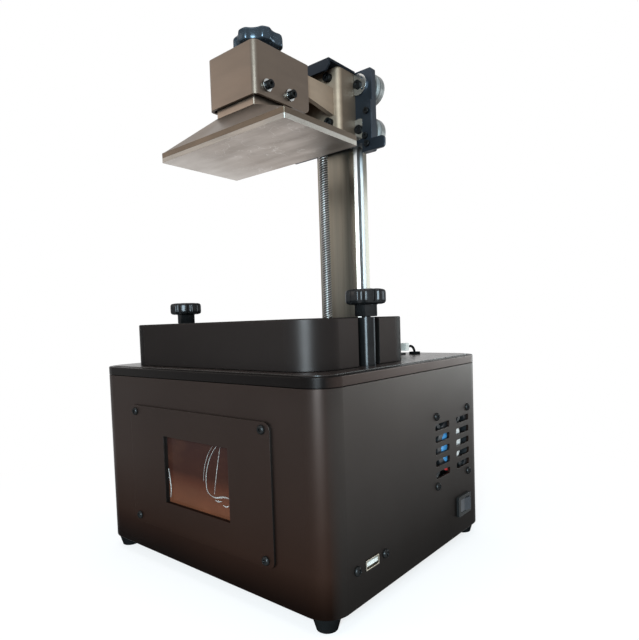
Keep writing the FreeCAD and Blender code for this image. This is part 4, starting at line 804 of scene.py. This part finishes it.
def curve(knots, count=40):
    """Points on a smooth line through knots."""
    made = []
    spans = len(knots) - 1
    for n in range(count + 1):
        along = spans * n / count
        i = min(int(along), spans - 1)
        t = along - i
        p0, p1, p2, p3 = (Vector(knots[min(max(i + d, 0), spans)]) for d in (-1, 0, 1, 2))
        made.append(0.5 * ((2 * p1) + (p2 - p0) * t + (2 * p0 - 5 * p1 + 4 * p2 - p3) * t * t
                           + (3 * p1 - p0 - 3 * p2 + p3) * t ** 3))
    return [(point.x, point.y) for point in made]


# Each strip's line on the screen as X and Z, its width and the lift of its edges
FILM_LINES = {
    "film_loop_outer": ([(23.2, 97.0), (19.0, 92.5), (14.6, 86.0), (11.6, 78.0), (10.8, 71.5), (11.6, 66.0),
                         (14.5, 63.4), (19.0, 62.4)], 0.5, 0.45),
    "film_loop_edge": ([(19.0, 96.4), (14.4, 91.0), (11.2, 85.0), (8.8, 78.0), (8.0, 71.5)], 0.3, 0.3),
    "film_loop_inner": ([(26.6, 97.4), (25.2, 92.0), (23.6, 86.0), (21.6, 78.0), (20.0, 70.5), (18.8, 64.4)],
                        0.4, 0.35),
    "film_curl_upper": ([(16.5, 62.8), (21.0, 62.6), (25.0, 63.6), (29.0, 64.4), (33.6, 64.4)], 1.1, 0.7),
    "film_curl_lower": ([(19.5, 60.8), (22.0, 60.4), (24.0, 60.6), (26.0, 61.2)], 0.9, 0.6),
    "film_curl_end": ([(27.0, 58.8), (29.4, 58.4), (31.6, 58.8), (34.0, 60.2)], 0.7, 0.4),
    "film_fold": ([(-30.9, 74.0), (-29.8, 68.0), (-28.9, 60.0), (-29.9, 53.5)], 0.9, 0.5),
}


def build_film():
    for name, (knots, width, lift) in FILM_LINES.items():
        ribbon(name, curve(knots), width, lift)


build_lead_screw()
build_knobs()
build_wheels()
build_case_screws()
build_fan_label()
build_film()


# Stage, light and camera

def ray_share(tree):
    """1 for camera, glossy and transmission rays, 0 for the rest."""
    path = tree.nodes.new("ShaderNodeLightPath")
    share = path.outputs["Is Camera Ray"]
    for name in ("Is Glossy Ray", "Is Transmission Ray"):
        larger = tree.nodes.new("ShaderNodeMath")
        larger.operation = "MAXIMUM"
        tree.links.new(share, larger.inputs[0])
        tree.links.new(path.outputs[name], larger.inputs[1])
        share = larger.outputs[0]
    return share


def build_world():
    world = bpy.data.worlds.new("studio")
    bpy.context.scene.world = world
    world.use_nodes = True
    tree = world.node_tree
    strength = tree.nodes.new("ShaderNodeMapRange")
    strength.inputs["To Min"].default_value = AMBIENT
    strength.inputs["To Max"].default_value = BACKGROUND
    tree.links.new(ray_share(tree), strength.inputs["Value"])
    tree.links.new(strength.outputs[0], tree.nodes["Background"].inputs["Strength"])
    tree.nodes["Background"].inputs["Color"].default_value = (1, 1, 1, 1)


def build_floor():
    mesh = bpy.data.meshes.new("floor")
    reach = FLOOR_REACH
    corners = [(-reach, -reach, 0), (reach, -reach, 0), (reach, reach, 0), (-reach, reach, 0)]
    mesh.from_pydata(corners, [], [(0, 1, 2, 3)])
    floor = bpy.data.objects.new("floor", mesh)
    bpy.context.scene.collection.objects.link(floor)
    paint = bpy.data.materials.new("pale_floor")
    paint.use_nodes = True
    tree = paint.node_tree
    tree.nodes.remove(tree.nodes["Principled BSDF"])
    matte = tree.nodes.new("ShaderNodeBsdfDiffuse")
    matte.inputs["Color"].default_value = (0.9, 0.9, 0.9, 1)
    glow = tree.nodes.new("ShaderNodeEmission")
    glow.inputs["Color"].default_value = (1, 1, 1, 1)
    reach_out = tree.nodes.new("ShaderNodeVectorMath")
    reach_out.operation = "LENGTH"
    tree.links.new(tree.nodes.new("ShaderNodeNewGeometry").outputs["Position"], reach_out.inputs[0])
    fade = tree.nodes.new("ShaderNodeMapRange")
    fade.inputs["From Min"].default_value = SHADOW_REACH[0]
    fade.inputs["From Max"].default_value = SHADOW_REACH[1]
    fade.inputs["To Min"].default_value = NEAR_GLOW
    tree.links.new(reach_out.outputs["Value"], fade.inputs["Value"])
    keep = tree.nodes.new("ShaderNodeMath")
    keep.operation = "MULTIPLY"
    tree.links.new(fade.outputs[0], keep.inputs[1])
    tree.links.new(ray_share(tree), keep.inputs[0])
    mix = tree.nodes.new("ShaderNodeMixShader")
    tree.links.new(keep.outputs[0], mix.inputs[0])
    tree.links.new(matte.outputs[0], mix.inputs[1])
    tree.links.new(glow.outputs[0], mix.inputs[2])
    tree.links.new(mix.outputs[0], tree.nodes["Material Output"].inputs["Surface"])
    mesh.materials.append(paint)


def add_lamp(name, place, aim, width, height, power, tint):
    data = bpy.data.lights.new(name, "AREA")
    data.shape = "RECTANGLE"
    data.size = width
    data.size_y = height
    data.energy = power
    data.color = tint
    lamp = bpy.data.objects.new(name, data)
    bpy.context.scene.collection.objects.link(lamp)
    lamp.location = place
    lamp.rotation_euler = (Vector(aim) - Vector(place)).to_track_quat("-Z", "Y").to_euler()
    lamp.visible_camera = False


def build_camera():
    data = bpy.data.cameras.new("photo_camera")
    data.sensor_width = SENSOR
    data.lens = FOCAL_PIXELS * SENSOR / PHOTO_SIDE
    data.shift_x = (PHOTO_WIDTH / 2 - OPTICAL_CENTRE[0]) / PHOTO_SIDE
    data.shift_y = (OPTICAL_CENTRE[1] - PHOTO_SIDE / 2) / PHOTO_SIDE
    camera = bpy.data.objects.new("photo_camera", data)
    bpy.context.scene.collection.objects.link(camera)
    axes = Matrix((CAMERA_RIGHT, CAMERA_UP, CAMERA_BACK)).transposed()
    camera.matrix_world = Matrix.Translation(CAMERA_PLACE) @ axes.to_4x4()
    bpy.context.scene.camera = camera


build_world()
build_floor()
add_lamp("window", (0.62, -1.02, 0.40), (0, 0, 0.2), 0.42, 0.75, 34.0, (0.66, 0.88, 1.0))
add_lamp("side", (0.66, 1.58, 0.34), (0.08, 0.05, 0.12), 1.0, 0.66, 19.0, (0.88, 0.98, 1.0))
add_lamp("room", (-1.2, -1.0, 0.8), (0, 0, 0.2), 1.2, 0.8, 5.0, (1.0, 0.88, 0.78))
add_lamp("ceiling", (0.0, -0.1, 1.7), (0, 0, 0.2), 1.2, 1.2, 11.0, (1.0, 0.99, 0.97))
build_camera()
bpy.context.scene.view_settings.view_transform = "Standard"
